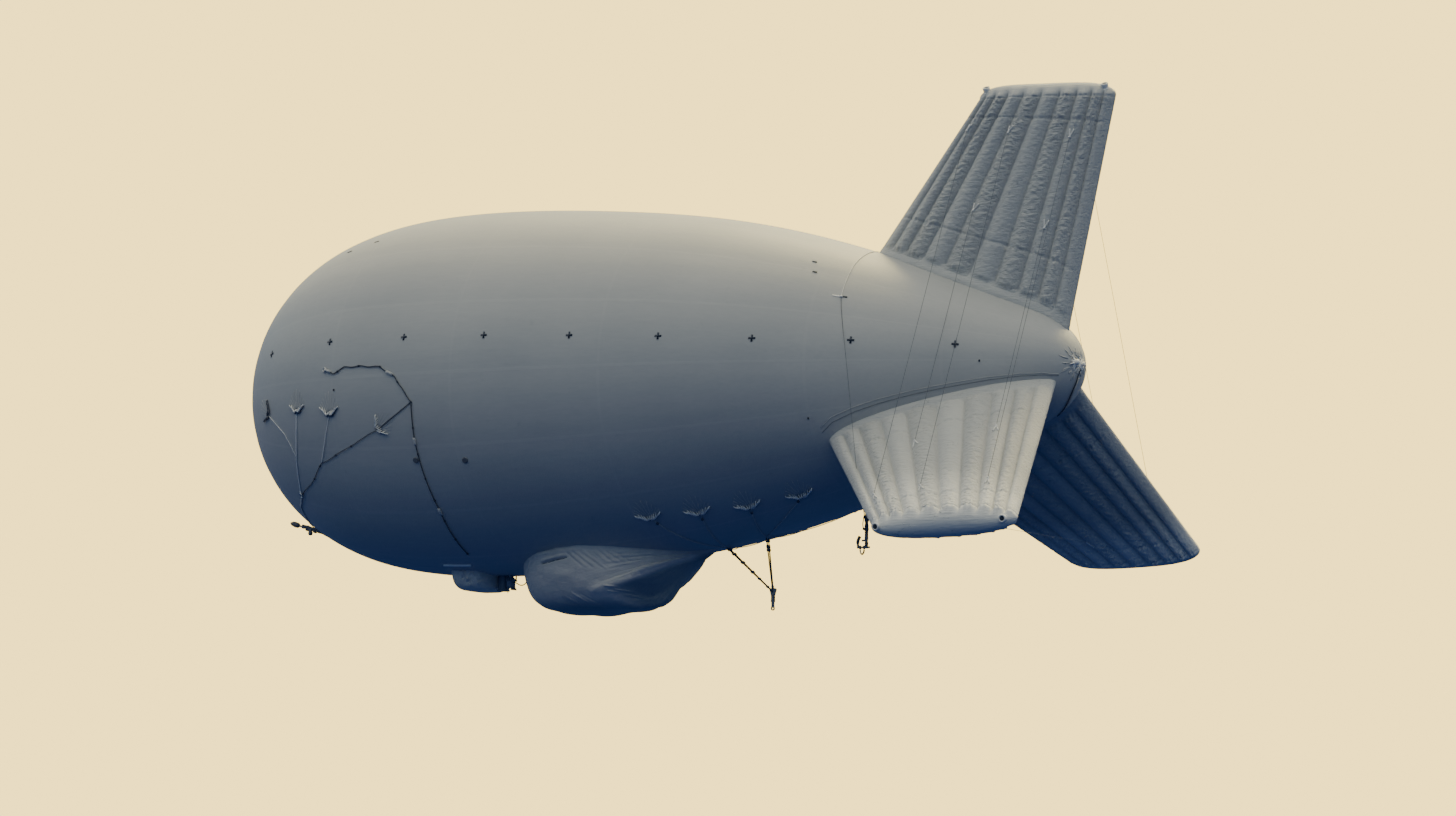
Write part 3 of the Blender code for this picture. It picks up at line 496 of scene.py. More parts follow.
def value_noise(u, v, generator, cells_u, cells_v):
    """Smooth noise between -1 and 1 on a grid of the given cells."""
    grid = generator.uniform(-1, 1, (cells_u + 2, cells_v + 2))
    a, b = u * cells_u, v * cells_v
    i, j = np.floor(a).astype(int), np.floor(b).astype(int)
    i, j = np.clip(i, 0, cells_u), np.clip(j, 0, cells_v)
    fa, fb = a - i, b - j
    fa, fb = fa * fa * (3 - 2 * fa), fb * fb * (3 - 2 * fb)
    low = grid[i, j] * (1 - fa) + grid[i + 1, j] * fa
    high = grid[i, j + 1] * (1 - fa) + grid[i + 1, j + 1] * fa
    return low * (1 - fb) + high * fb


# %% [markdown]
# One function makes the rows of one face, each as places in the fin's plane and half thicknesses. It adds
# up what the cloth does: the lobes, fine and coarse wrinkles across them, and the pinch of each seam with
# gathers beside it. Then the cap closes like a quarter circle over the tip seam.

# %% Fin faces
def fin_sheets(face, seed, generator, share):
    u = rib_place(share)
    lobe_number = np.minimum((share * FIN_RIBS).astype(int), FIN_RIBS - 1)
    lobe = np.abs(np.sin(np.pi * FIN_RIBS * share)) ** 0.7
    root_x = FIN_ROOT[0] + (FIN_ROOT[1] - FIN_ROOT[0]) * u
    root = np.stack([root_x, hull_radius(root_x)], 1)
    tip = FIN_TIP_FORE + (FIN_TIP_AFT - FIN_TIP_FORE) * u[:, None]
    fullness = np.sqrt(np.maximum(1 - np.abs(2 * u - 1) ** 2.4, 0))
    phase = generator.uniform(0, 6.28, FIN_RIBS)[lobe_number]
    crumpled = np.array(CRUMPLED)[lobe_number]
    sheets = []
    for w in FIN_ROWS:
        place = root + (tip - root) * w
        flare = FIN_FLARE * (1 - smooth_step(w, 0.0, 0.045))
        half = FIN_HALF[0] + (FIN_HALF[1] - FIN_HALF[0]) * max(w, 0) + flare
        swell = float(smooth_step(w, 0.030, 0.065))
        height = np.full_like(share, max(w, 0))
        wrinkle = 0.0035 * value_noise(share, height, np.random.default_rng(seed + face + 40), 60, 70)
        ripples = np.sin(205 * w + 2.5 * np.sin(23 * share * np.pi + 40 * w) + phase)
        wrinkle += 0.0058 * ripples * lobe * crumpled
        coarse = value_noise(share, height, np.random.default_rng(seed + face + 70), 44, 60)
        wrinkle += 0.0058 * coarse * crumpled
        pucker = 0.0
        for seam, depth in CROSS_SEAMS:
            closeness = math.exp(-((w - seam) / 0.020) ** 2)
            pinch = depth * math.exp(-((w - seam) / 0.006) ** 2)
            gather = np.sin(share * FIN_RIBS * 2 * np.pi * 3.5 + phase * 2 + 60 * (w - seam))
            pucker = pucker + closeness * 0.016 * gather * lobe * (0.35 + 0.65 * crumpled) - pinch
        relief = (wrinkle + pucker) * float(smooth_step(w, 0.02, 0.06))
        extra = (swell * (FIN_LOBE * lobe - FIN_VALLEY) + relief) * np.minimum(fullness * 1.5, 1)
        sheets.append((place, half * fullness + np.maximum(extra, -half * fullness * 0.5)))
    seam_place, seam_half = sheets[-1]
    plain_half = FIN_HALF[1] * fullness
    cap_height = 0.02 + 0.22 * np.sqrt(np.maximum(1 - np.abs(2 * u - 1) ** 5, 0))
    for k in range(1, CAP_STEPS + 1):
        climb = math.radians(90 * k / CAP_STEPS)
        keep = math.cos(climb)
        place = seam_place.copy()
        place[:, 0] += (1 - 2 * u) * 0.25 * cap_height * (1 - keep)
        place[:, 1] += cap_height * math.sin(climb)
        lobed = (1 - k / CAP_STEPS) ** 6
        sheets.append((place, (plain_half + (seam_half - plain_half) * lobed) * keep))
    return sheets


# %% [markdown]
# Another function joins two faces to one closed mesh. They share the points of both edges and of the
# cap's ridge. How crumpled each point's lobe is goes into the mesh as an attribute, for the material.

# %% Fin meshes
def fin_mesh(name, angle, offset, seed):
    generator = np.random.default_rng(seed)
    share = np.arange(FIN_RIBS * LOBE_STEPS + 1) / (FIN_RIBS * LOBE_STEPS)
    both = [fin_sheets(face, seed, generator, share) for face in (1, -1)]
    last_row, last_k = len(both[0]) - 1, len(share) - 1
    turn = math.radians(angle)
    outward = np.array((0, -math.cos(turn), math.sin(turn)))
    across = np.cross((1, 0, 0), outward)

    def key_of(f, row, k):
        shared = k in (0, last_k) or row == last_row
        return (-1 if shared else f, row, k)

    points, faces, index = [], [], {}
    for f, sheets in enumerate(both):
        for row, (place, half) in enumerate(sheets):
            for k in range(len(share)):
                key = key_of(f, row, k)
                if key not in index:
                    index[key] = len(points)
                    thick = {-1: 0, 0: half[k], 1: -half[k]}[key[0]]
                    spot = outward * place[k, 1] + across * (offset + thick)
                    points.append((NOSE_X + place[k, 0], spot[1], spot[2]))
        for row in range(last_row):
            for k in range(last_k):
                square = ((row, k), (row, k + 1), (row + 1, k + 1), (row + 1, k))
                corners = [index[key_of(f, r, c)] for r, c in square]
                faces.append(corners if f == 0 else corners[::-1])
    for k in range(last_k):
        corners = [index[key_of(f, 0, c)] for f, c in ((0, k), (0, k + 1), (1, k + 1), (1, k))]
        faces.append([c for n, c in enumerate(corners) if c not in corners[:n]])
    mesh = mesh_from(name, points, faces)
    crumple = mesh.attributes.new("crumple", "FLOAT", "POINT")
    level = np.zeros(len(points), np.float32)
    for (_, row, k), place in index.items():
        rough = CRUMPLED[min(int(share[k] * FIN_RIBS), FIN_RIBS - 1)]
        level[place] = rough if SKIRT_ROWS < row < len(FIN_ROWS) - 4 else SKIRT_CRUMPLE * (row <= SKIRT_ROWS)
    crumple.data.foreach_set("value", level)
    put_right(mesh)
    return mesh


fin_skins = []
for number, (name, angle, offset) in enumerate(FINS):
    skin = link(f"fin_{name}_skin", fin_mesh(f"fin_{name}_skin", angle, offset, 100 + number))
    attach(skin, "root")
    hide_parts(f"fin_{name}")
    fin_skins.append(skin)
    print(skin.name, len(skin.data.polygons), "faces")

# %% [markdown]
# The lower fins are a lighter cloth than the hull. Near their roots they are painted darker, as painted shade
# where the hull hides the sky, and towards their tips paler, as painted light. The upper fin is coloured
# darker, nearer to the hull's grey. So the colour is blended by how far a point is from the hull's axis, and
# by its height. Thin dark lines are painted shade in the cloth's creases. The cloth crinkles across the
# lobes, so the bump is fine noise stretched along the chord, and it is deeper on the lobes that are more
# crumpled.

# %% Fin cloth
fin_cloth = Finish("fin_cloth", roughness=0.58, sheen=0.15, specular=0.4)
mottle = fin_cloth.span(fin_cloth.noise(1.4, 5.0), 0.3, 0.75)
_, fin_y, fin_z = fin_cloth.axes()
from_axis = fin_cloth.hypot(fin_y, fin_z)
# Painted shade and light: the root colour is darker and the tip colour paler, because the hull hides part of
# the sky from the roots.
root_painted_shade = fin_cloth.blend(mottle, rgb(0.57, 0.57, 0.54), rgb(0.51, 0.515, 0.50))
tip_painted_light = fin_cloth.blend(mottle, rgb(0.88, 0.865, 0.79), rgb(0.80, 0.79, 0.735))
upper_colour = fin_cloth.blend(mottle, rgb(0.53, 0.54, 0.52), rgb(0.475, 0.485, 0.48))
fin_colour = fin_cloth.blend(fin_cloth.span(from_axis, 3.5, 4.3), root_painted_shade, tip_painted_light)
fin_colour = fin_cloth.blend(fin_cloth.span(fin_z, -1.0, 1.0), fin_colour, upper_colour)
fine = fin_cloth.noise(16.0, 5.0, vector=fin_cloth.stretch((0.6, 1.4, 1.4)))
fin_colour = fin_cloth.tint(fin_colour, fine, 0.25, rgb(0.40, 0.41, 0.41))
# Painted shade: thin dark lines in the colour stand for the shade in the cloth's creases.
lines = fin_cloth.noise(2.6, 3.0, 0.5, fin_cloth.stretch((0.8, 4.2, 4.2)))
crease_painted_shade = fin_cloth.near(lines, 0.5, 0.010)
crease_painted_shade = fin_cloth.times(crease_painted_shade, fin_cloth.span(fin_cloth.noise(2.1, 2.0), 0.52, 0.60))
fin_colour = fin_cloth.tint(fin_colour, crease_painted_shade, 0.60, rgb(0.14, 0.15, 0.17))
fin_cloth.colour(fin_colour)
rough = fin_cloth.attribute("crumple")
crinkle = fin_cloth.noise(7.5, 6.0, 0.62, fin_cloth.stretch((0.6, 3.6, 3.6)))
fine_lines = fin_cloth.noise(6.0, 3.0, 0.5, fin_cloth.stretch((0.25, 5.0, 5.0)))
depth = fin_cloth.span(rough, 0.0, 1.0, 0.012, 0.060)
fin_relief = fin_cloth.plus(fin_cloth.times(crinkle, depth), fin_cloth.times(fine_lines, 0.010))
fin_cloth.bump(fin_relief, 1.0, 0.75)
for skin in fin_skins:
    skin.data.materials.append(fin_cloth.material)
print("fin cloth has", len(fin_cloth.tree.nodes), "nodes")

# %% [markdown]
# ## Windscreen and equipment bag
# The windscreen is a loose cloth fairing round the payload. Air keeps it full in front, and behind it is
# drawn to a point, so creases fan out from there. Below that ridge the cloth hangs in a hollow.
# Each body is a loft through rings, and each crease is a line on its side. A crease moves the cloth near
# it out or in, by a bell curve of the distance, so it has round flanks like a real fold.

# %% Soft bodies
SOFT_TOP = -2.6
# Columns: distance from the nose, half width, lowest point. The aft rows reach a little past the solid
WINDSCREEN = (
    (5.90, 0.10, -3.30), (5.95, 0.32, -3.46), (6.02, 0.52, -3.62), (6.13, 0.73, -3.80), (6.28, 0.92, -3.965),
    (6.48, 1.09, -4.06), (6.78, 1.25, -4.11), (7.25, 1.35, -4.145), (7.70, 1.32, -4.10), (8.30, 1.12, -4.045),
    (8.66, 0.93, -4.005), (8.85, 0.82, -3.900), (9.03, 0.70, -3.67), (9.24, 0.52, -3.38), (9.45, 0.34, -3.20),
    (9.68, 0.20, -3.08), (9.86, 0.10, -2.98),
)
BAG = (
    (4.45, 0.56, -3.52), (4.47, 0.64, -3.61), (4.52, 0.69, -3.65), (4.66, 0.71, -3.67), (4.90, 0.70, -3.67),
    (5.03, 0.67, -3.65), (5.08, 0.58, -3.60), (5.11, 0.46, -3.50),
)
PROFILE_STEPS = 600


def crease(s, z, start, end, width, height):
    """Displacement beside a line from start to end, which fades out towards both ends."""
    start, end = np.array(start, float), np.array(end, float)
    along = end - start
    length = np.linalg.norm(along)
    t = ((s - start[0]) * along[0] + (z - start[1]) * along[1]) / length ** 2
    off = np.abs((s - start[0]) * along[1] - (z - start[1]) * along[0]) / length
    inside = np.clip(t, 0, 1)
    beyond = np.abs(t - inside) * length / width
    return height * np.sqrt(np.sin(np.pi * inside)) * np.exp(-(off / width) ** 2 - beyond ** 2)


def smoothed(values, window):
    """A row of values after a moving average, with both ends kept in place."""
    pad = len(window) // 2
    before = 2 * values[0] - values[pad:0:-1]
    behind = 2 * values[-1] - values[-2:-pad - 2:-1]
    return np.convolve(np.concatenate([before, values, behind]), window, "valid")


def soft_skin(name, table, rows, sides, smoothing, wrinkles, power=0.8):
    """A closed loft whose rings are rounded boxes, each changed by the given wrinkles."""
    table = np.array(table)
    fine = np.linspace(table[0, 0], table[-1, 0], PROFILE_STEPS)
    window = np.hanning(int(smoothing / (fine[1] - fine[0])) | 1)
    window /= window.sum()
    halves, lows = [smoothed(np.interp(fine, table[:, 0], table[:, column]), window) for column in (1, 2)]
    # The top lies in the hull, so it has one side in eight
    top_sides = sides // 8
    a = np.concatenate([np.linspace(0, np.pi, top_sides, False),
                        np.linspace(np.pi, 2 * np.pi, sides - top_sides, False)])
    shape_c = np.sign(np.cos(a)) * np.abs(np.cos(a)) ** power
    shape_s = np.sign(np.sin(a)) * np.abs(np.sin(a)) ** power
    rings = []
    for k in range(rows):
        share = min(max(k / (rows - 1), 0.002), 0.998)
        s = table[0, 0] + (table[-1, 0] - table[0, 0]) * share
        half, low = np.interp(s, fine, halves), np.interp(s, fine, lows)
        middle = max((-3.0 + SOFT_TOP) / 2, low + 0.35)
        y = half * shape_c
        z = middle + shape_s * np.where(shape_s > 0, SOFT_TOP - middle, middle - low)
        y, z = wrinkles(s, y, z, half)
        rings.append([(NOSE_X + s, float(p), float(q)) for p, q in zip(y, z)])
    first, last = np.mean(rings[0], 0), np.mean(rings[-1], 0)
    points, faces = closed_skin(rings, tuple(first), tuple(last))
    made = link(name, mesh_from(name, points, faces))
    put_right(made.data)
    return made


# %% [markdown]
# The windscreen's folds are listed one by one, because each has its own place and size. The fan and the
# short folds over it follow a rule, so loops add them.

# %% Windscreen
# Columns: start and end on the side as distance from the nose and height, width, height of the fold
SCREEN_FOLDS = [
    ((7.80, -3.80), (8.75, -3.49), 0.085, 0.034), ((8.60, -3.47), (9.40, -3.13), 0.050, 0.034),
    ((6.90, -3.275), (7.22, -3.215), 0.020, -0.030), ((7.16, -3.225), (7.50, -3.172), 0.018, -0.026),
    ((6.88, -3.235), (7.50, -3.125), 0.030, 0.022),
    ((6.25, -3.55), (6.70, -3.10), 0.050, 0.016), ((6.20, -3.70), (6.52, -3.20), 0.030, -0.010),
    ((6.60, -3.06), (7.60, -2.98), 0.026, -0.014), ((6.75, -3.12), (7.75, -3.03), 0.026, 0.014),
    ((8.12, -3.67), (8.34, -3.69), 0.015, 0.020), ((8.26, -3.73), (8.48, -3.77), 0.015, 0.022),
    ((8.14, -3.76), (8.32, -3.78), 0.012, 0.016), ((8.34, -3.82), (8.56, -3.87), 0.015, 0.020),
    ((7.45, -3.78), (7.72, -3.98), 0.018, 0.012), ((7.62, -3.80), (7.90, -4.00), 0.016, -0.012),
    ((7.30, -3.84), (7.52, -4.00), 0.014, 0.009), ((8.62, -3.62), (9.08, -3.60), 0.018, 0.008),
    ((8.55, -3.78), (8.85, -3.66), 0.030, 0.016), ((8.35, -3.92), (8.70, -3.86), 0.026, 0.014),
    ((6.85, -3.90), (7.55, -4.06), 0.040, 0.010), ((6.90, -3.42), (7.60, -3.50), 0.120, 0.014),
]
FAN_TIP = (9.58, -3.06)
# The ridge that the hollow hangs from: distances from the nose, and heights
RIDGE = ((7.90, 8.13, 8.48, 8.84, 9.16, 9.48, 9.86), (-3.78, -3.72, -3.61, -3.46, -3.29, -3.14, -2.98))
for k in range(13):
    reach = (8.10 + 0.11 * (k % 3), -3.02 - 0.048 * k)
    SCREEN_FOLDS.append((reach, FAN_TIP, 0.016, 0.009 * (1 if k % 2 else -1)))
for k in range(6):
    fold = 0.009 if k % 2 else -0.009
    SCREEN_FOLDS.append(((7.45 + 0.07 * k, -3.06), (7.78 + 0.09 * k, -3.34 - 0.01 * k), 0.015, fold))
    SCREEN_FOLDS.append(((8.00 + 0.06 * k, -3.05), (8.22 + 0.08 * k, -3.26), 0.013, -fold))


# Distances from the nose over which the hollow begins and ends, and how far it pulls the cloth in
HANG_FROM, HANG_TO = (8.15, 8.65), (9.40, 9.75)
HANG_PULL = 0.68
FOLD_GAIN = 1.9
# The starboard folds lie this much further forward, so that both sides aren't the same
STARBOARD_SHIFT = 0.03
# Columns: distance from the nose where the fine unevenness starts, and its length
UNEVEN = (5.9, 3.76)


def screen_wrinkles(s, y, z, half):
    hang = smooth_step(s, *HANG_FROM) * (1 - smooth_step(s, *HANG_TO))
    ridge = float(np.interp(s, *RIDGE))
    y = y * (1 - HANG_PULL * hang * smooth_step(ridge - z, -0.04, 0.30))
    push = np.zeros_like(y)
    shift = np.where(y < 0, 0.0, STARBOARD_SHIFT)
    for start, end, width, rise in SCREEN_FOLDS:
        push += FOLD_GAIN * crease(s + shift, z, start, end, width, rise)
    along = np.full_like(z, (s - UNEVEN[0]) / UNEVEN[1])
    push += 0.006 * value_noise(along, np.clip((z + 4.2) / 1.7, 0, 1), np.random.default_rng(5), 26, 14)
    push *= np.minimum(np.abs(y) / max(half, 0.05) * 2.0, 1.0) * min(half / 0.4, 1.0)
    sag = 0.010 * np.sin(9 * s + 2 * y) * smooth_step(-z, 3.9, 4.1)
    return y + np.sign(y) * push, z + sag


windscreen_skin = soft_skin("windscreen_skin", WINDSCREEN, 270, 320, 0.14, screen_wrinkles, 0.68)
print("windscreen has", len(SCREEN_FOLDS), "folds")

# %% [markdown]
# The bag is smaller and more crumpled: short creases at random places, from a fixed seed.

# %% Bag
BAG_FOLDS = 26


def bag_wrinkles(s, y, z, half):
    push = np.zeros_like(y)
    generator = np.random.default_rng(11)
    for k in range(BAG_FOLDS):
        place = np.array((generator.uniform(4.70, 5.08), generator.uniform(-3.62, -3.25)))
        turn = generator.uniform(0.5, 2.2)
        tip = place + 0.10 * np.array((math.cos(turn), math.sin(turn)))
        push += crease(s, z, place, tip, 0.018, generator.choice((-0.030, 0.030)))
    push += crease(s, z, (4.50, -3.62), (4.54, -3.28), 0.03, 0.012)
    push += crease(s, z, (4.60, -3.30), (5.05, -3.27), 0.02, -0.014)
    pull = 0.20 * smooth_step(s, 4.85, 5.10) * (0.5 + 0.5 * np.sin(22 * z))
    return y * (1 - 0.25 * pull) + np.sign(y) * push * min(half / 0.4, 1.0), z


bag_skin = soft_skin("bag_skin", BAG, 80, 176, 0.03, bag_wrinkles, 0.5)
# The hollow is marked on the points, so that the material can paint shade there
for skin, node in ((windscreen_skin, "windscreen"), (bag_skin, "equipment_bag")):
    hollow_shade_layer = skin.data.attributes.new("hollow", "FLOAT", "POINT")
    places = np.array([vertex.co for vertex in skin.data.vertices])
    below_ridge = np.interp(places[:, 0] - NOSE_X, *RIDGE) - places[:, 2]
    level = 0.97 * smooth_step(places[:, 0] - NOSE_X, 8.10, 8.55) * smooth_step(below_ridge, -0.03, 0.05)
    hollow_shade_layer.data.foreach_set("value", level.astype(np.float32))
    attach(skin, "root")
    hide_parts(node)
    print(skin.name, len(skin.data.polygons), "faces")

# %% [markdown]
# Both bodies are a warm, pale cloth, and the front of the windscreen is coloured darker. Its hollow and its
# underside are painted darker still, as painted shade. The fan of folds is too fine for the mesh, so it is
# bump:
# noise on rays that run to the point where the cloth is drawn together, which fades with the distance from
# there.

# %% Soft cloth
FAN_X, FAN_Z = NOSE_X + FAN_TIP[0], FAN_TIP[1]
soft_cloth = Finish("soft_cloth", roughness=0.66, sheen=0.25, specular=0.35)
soft_x, _, soft_z = soft_cloth.axes()
smudge = soft_cloth.span(soft_cloth.noise(2.6, 5.0), 0.3, 0.75)
screen_colour = soft_cloth.blend(smudge, rgb(0.82, 0.73, 0.63), rgb(0.73, 0.66, 0.57))
front_colour = soft_cloth.blend(smudge, rgb(0.62, 0.58, 0.54), rgb(0.55, 0.52, 0.49))
screen_colour = soft_cloth.blend(soft_cloth.span(soft_x, 0.2, 0.95), front_colour, screen_colour)
bag_colour = soft_cloth.blend(smudge, rgb(0.98, 0.86, 0.68), rgb(0.90, 0.79, 0.64))
soft_colour = soft_cloth.blend(soft_cloth.span(soft_x, -1.9, -1.5), bag_colour, screen_colour)
grain = soft_cloth.noise(45.0, 4.0)
soft_colour = soft_cloth.tint(soft_colour, grain, 0.18, rgb(0.36, 0.37, 0.38))
# Painted shade: the underside and the hollow are blended towards a dark grey.
underside = soft_cloth.span(soft_z, -3.86, -4.04)
shaded = soft_cloth.math("MAXIMUM", underside, soft_cloth.attribute("hollow"))
soft_colour = soft_cloth.blend(shaded, soft_colour, rgb(0.26, 0.30, 0.32))
soft_cloth.colour(soft_colour)
small_folds = soft_cloth.noise(5.0, 6.0, 0.62, soft_cloth.stretch((0.8, 1.0, 2.2)))
soft_relief = soft_cloth.plus(soft_cloth.times(small_folds, 0.022), soft_cloth.times(grain, 0.0008))
from_tip_x = soft_cloth.minus(soft_x, FAN_X)
from_tip_z = soft_cloth.minus(soft_z, FAN_Z)
far = soft_cloth.hypot(from_tip_x, from_tip_z)
lean = soft_cloth.math("ARCTAN2", from_tip_z, soft_cloth.times(from_tip_x, -1.0))
ray_place = {0: soft_cloth.times(lean, 22.0), 1: soft_cloth.times(far, 1.1)}
rays = soft_cloth.add("ShaderNodeCombineXYZ", ray_place).outputs[0]
fan = soft_cloth.times(soft_cloth.noise(1.0, 4.0, 0.6, rays), soft_cloth.span(far, 2.1, 0.9))
soft_relief = soft_cloth.plus(soft_relief, soft_cloth.times(fan, 0.060))
soft_cloth.bump(soft_relief, 1.0, 0.7)
for skin in (windscreen_skin, bag_skin):
    skin.data.materials.append(soft_cloth.material)
print("soft cloth has", len(soft_cloth.tree.nodes), "nodes")

# %% [markdown]
# ## Finishes for ropes, webbing and fittings
# Everything small is either woven or coated. Woven pieces are matt with a fine bump, and coated metal is
# dark and satin, a little worn in spots.

# %% Small finishes
def woven(name, light, dark, scale=140.0):
    """Matt cloth or rope, with its threads as fine noise and dirt in patches."""
    made = Finish(name, roughness=0.85, sheen=0.3, specular=0.25)
    threads = made.noise(scale, 2.0)
    dirt = made.noise(5.0, 4.0)
    made.colour(made.blend(made.times(made.plus(threads, dirt), 0.5), rgb(*light), rgb(*dark)))
    made.bump(threads, 0.0015, 0.7)
    return made.material


def coated(name, colour, worn, roughness, metallic):
    """Paint, metal or rubber that is worn in spots."""
    made = Finish(name, roughness=roughness, metallic=metallic)
    wear = made.span(made.noise(24.0, 6.0, 0.65), 0.56, 0.68)
    made.colour(made.tint(rgb(*colour), wear, 0.45, rgb(*worn)))
    made.bump(made.noise(220.0, 2.0), 0.0004, 0.5)
    return made.material


LOOKS = {
    "tape": woven("tape_cloth", (0.54, 0.54, 0.52), (0.44, 0.44, 0.43)),
    "bright_cloth": woven("bright_cloth", (0.92, 0.91, 0.86), (0.80, 0.79, 0.75)),
    "thin_line": woven("thin_line", (0.10, 0.11, 0.13), (0.05, 0.06, 0.08), 200.0),
    "strap": woven("strap_cloth", (0.11, 0.13, 0.17), (0.05, 0.06, 0.09)),
    "seam": woven("seam_tape", (0.27, 0.28, 0.29), (0.20, 0.21, 0.22)),
    "rope": woven("rope_cloth", (0.060, 0.075, 0.105), (0.025, 0.035, 0.055), 200.0),
    "mark": woven("mark_cloth", (0.030, 0.045, 0.075), (0.018, 0.028, 0.050)),
    "metal": coated("dark_metal", (0.200, 0.215, 0.250), (0.34, 0.35, 0.37), 0.50, 0.15),
    "bright": coated("bright_metal", (0.62, 0.62, 0.60), (0.40, 0.41, 0.42), 0.30, 0.9),
    "case": coated("case_coat", (0.320, 0.340, 0.390), (0.40, 0.41, 0.43), 0.60, 0.0),
    "rubber": coated("dark_rubber", (0.120, 0.130, 0.155), (0.16, 0.17, 0.19), 0.80, 0.0),
    "cable": coated("cable_jacket", (0.018, 0.020, 0.026), (0.05, 0.05, 0.06), 0.50, 0.0),
}
SLOT_LOOKS = {
    "envelope_fabric": envelope_cloth.material, "fin_fabric": fin_cloth.material,
    "soft_fabric": soft_cloth.material, "webbing": LOOKS["strap"], "dark_metal": LOOKS["metal"],
    "case": LOOKS["case"], "rubber": LOOKS["rubber"], "cable": LOOKS["cable"],
}
for name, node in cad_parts.items():
    for slot in node.material_slots:
        known = slot.material.name.split(".")[0] if slot.material else ""
        slot.material = SLOT_LOOKS.get(known, LOOKS["metal"])
        if name.startswith("tail") or name.startswith("fin") and "valve" in name:
            slot.material = LOOKS["bright_cloth"]
    print(name, "now has", node.material_slots[0].material.name)

# %% [markdown]
# ## A tool for lines and fittings
# Ropes, tapes, knots and patches are many small shapes. This tool gathers them in one mesh for each
# piece: tubes along a path, flat tapes that lie on the cloth, rings, knots and puckered patches.

# %% Line builder
# A tape's flat top reaches this share of its width to each side, and its root lies this far in the cloth
TAPE_SHOULDER = 0.42
TAPE_SUNK = 0.004
# Columns: place along a knot in units of its size, and thickness there
KNOT_PROFILE = (
    (-1.3, 0.35), (-0.9, 0.85), (-0.3, 1.05), (0.0, 0.8), (0.3, 1.05), (0.9, 0.85), (1.3, 0.35),
)


class Rigging:
    """Gathers tubes, tapes, rings and patches as one mesh with several finishes."""

    def __init__(self, *looks):
        self.looks = looks
        self.points, self.faces, self.kinds = [], [], []

    def add(self, points, faces, look):
        base = len(self.points)
        self.points += [tuple(map(float, p)) for p in points]
        self.faces += [[base + k for k in face] for face in faces]
        self.kinds += [self.looks.index(look)] * len(faces)

    def loop_body(self, rings, look):
        """A closed body through equal rings."""
        start, end = np.mean(rings[0], 0), np.mean(rings[-1], 0)
        self.add(*closed_skin([list(map(tuple, ring)) for ring in rings], tuple(start), tuple(end)), look)

    def tube(self, path, radius, look, sides=8):
        """A round line along a path. Its frame is carried on from point to point, so it never twists."""
        path = [Vector(p) for p in path]
        rings = []
        side = None
        for k, p in enumerate(path):
            ahead = (path[min(k + 1, len(path) - 1)] - path[max(k - 1, 0)]).normalized()
            side = ahead.orthogonal() if side is None else side - ahead * side.dot(ahead)
            side.normalize()
            up = ahead.cross(side)
            size = radius(k / (len(path) - 1)) if callable(radius) else radius
            rings.append([p + (side * math.cos(t) + up * math.sin(t)) * size for t in turns_of(sides)])
        self.loop_body(rings, look)

    def tape(self, path, normals, width, thickness, look):
        """A flat tape whose face follows the given normals."""
        rings = []
        for k, p in enumerate(path):
            p = Vector(p)
            ahead = (Vector(path[min(k + 1, len(path) - 1)]) - Vector(path[max(k - 1, 0)])).normalized()
            normal = Vector(normals[k])
            aside = ahead.cross(normal).normalized()
            size = width(k / (len(path) - 1)) if callable(width) else width
            rings.append([p + aside * size / 2, p + aside * size * TAPE_SHOULDER + normal * thickness,
                          p - aside * size * TAPE_SHOULDER + normal * thickness, p - aside * size / 2,
                          p - normal * TAPE_SUNK])
        self.loop_body(rings, look)

    def ring(self, centre, normal, radius, thick, look, count=24, sides=8):
        centre, normal = Vector(centre), Vector(normal).normalized()
        a = normal.orthogonal().normalized()
        b = normal.cross(a)
        points, faces = [], []
        for turn in turns_of(count):
            out = a * math.cos(turn) + b * math.sin(turn)
            for t in turns_of(sides):
                points.append(centre + out * (radius + thick * math.cos(t)) + normal * thick * math.sin(t))
        for k in range(count):
            for n in range(sides):
                m, after = (n + 1) % sides, (k + 1) % count
                faces.append((k * sides + n, after * sides + n, after * sides + m, k * sides + m))
        self.add(points, faces, look)

    def knot(self, centre, axis, size, look):
        """A lumpy bead, longer along the line."""
        axis = Vector(axis).normalized()
        path = [Vector(centre) + axis * size * t for t, _ in KNOT_PROFILE]
        last = len(KNOT_PROFILE) - 1
        self.tube(path, lambda share: size * KNOT_PROFILE[round(share * last)][1], look, 10)

    def finish(self, name, body, replaces=()):
        made = link(name, mesh_from(name, self.points, self.faces))
        for look in self.looks:
            made.data.materials.append(LOOKS[look])
        made.data.polygons.foreach_set("material_index", self.kinds)
        put_right(made.data)
        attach(made, body)
        if replaces:
            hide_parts(*replaces)
        print(name, len(made.data.polygons), "faces")
        return made


def route(corners, side, lift, step=0.08):
    """Points and normals of a line that lies on the hull between its corners."""
    points, normals = [], []
    for (s0, b0), (s1, b1) in zip(corners, corners[1:]):
        reach = math.hypot(s1 - s0, math.radians(b1 - b0) * float(hull_radius((s0 + s1) / 2)))
        count = max(int(reach / step), 1)
        for k in range(count):
            t = k / count
            point, normal = on_hull(s0 + (s1 - s0) * t, b0 + (b1 - b0) * t, side, lift)
            points.append(point)
            normals.append(normal)
    point, normal = on_hull(*corners[-1], side, lift)
    return points + [point], normals + [normal]


# %% [markdown]
# ## Cable
# One free cable leaves the avionics box, sags, and goes up into the hull. Its jacket is stiff, so it
# keeps a round bow. A curve object with a round bevel is the simplest way to make it, because the curve
# is the cable's centreline, and its length can be measured.

# %% Cable
CABLE_DIAMETER = 0.020
CABLE_Y = -0.04
# The whole route lies this much further aft than its points say
CABLE_SHIFT = 0.0003
CABLE_STEPS = 3
# Columns: distance from the nose, height
CABLE_POINTS = (
    (5.465, -3.500), (5.500, -3.502), (5.540, -3.516), (5.585, -3.540), (5.635, -3.557), (5.690, -3.552),
    (5.738, -3.523), (5.768, -3.480), (5.782, -3.425), (5.782, -3.385), (5.779, -3.350),
)


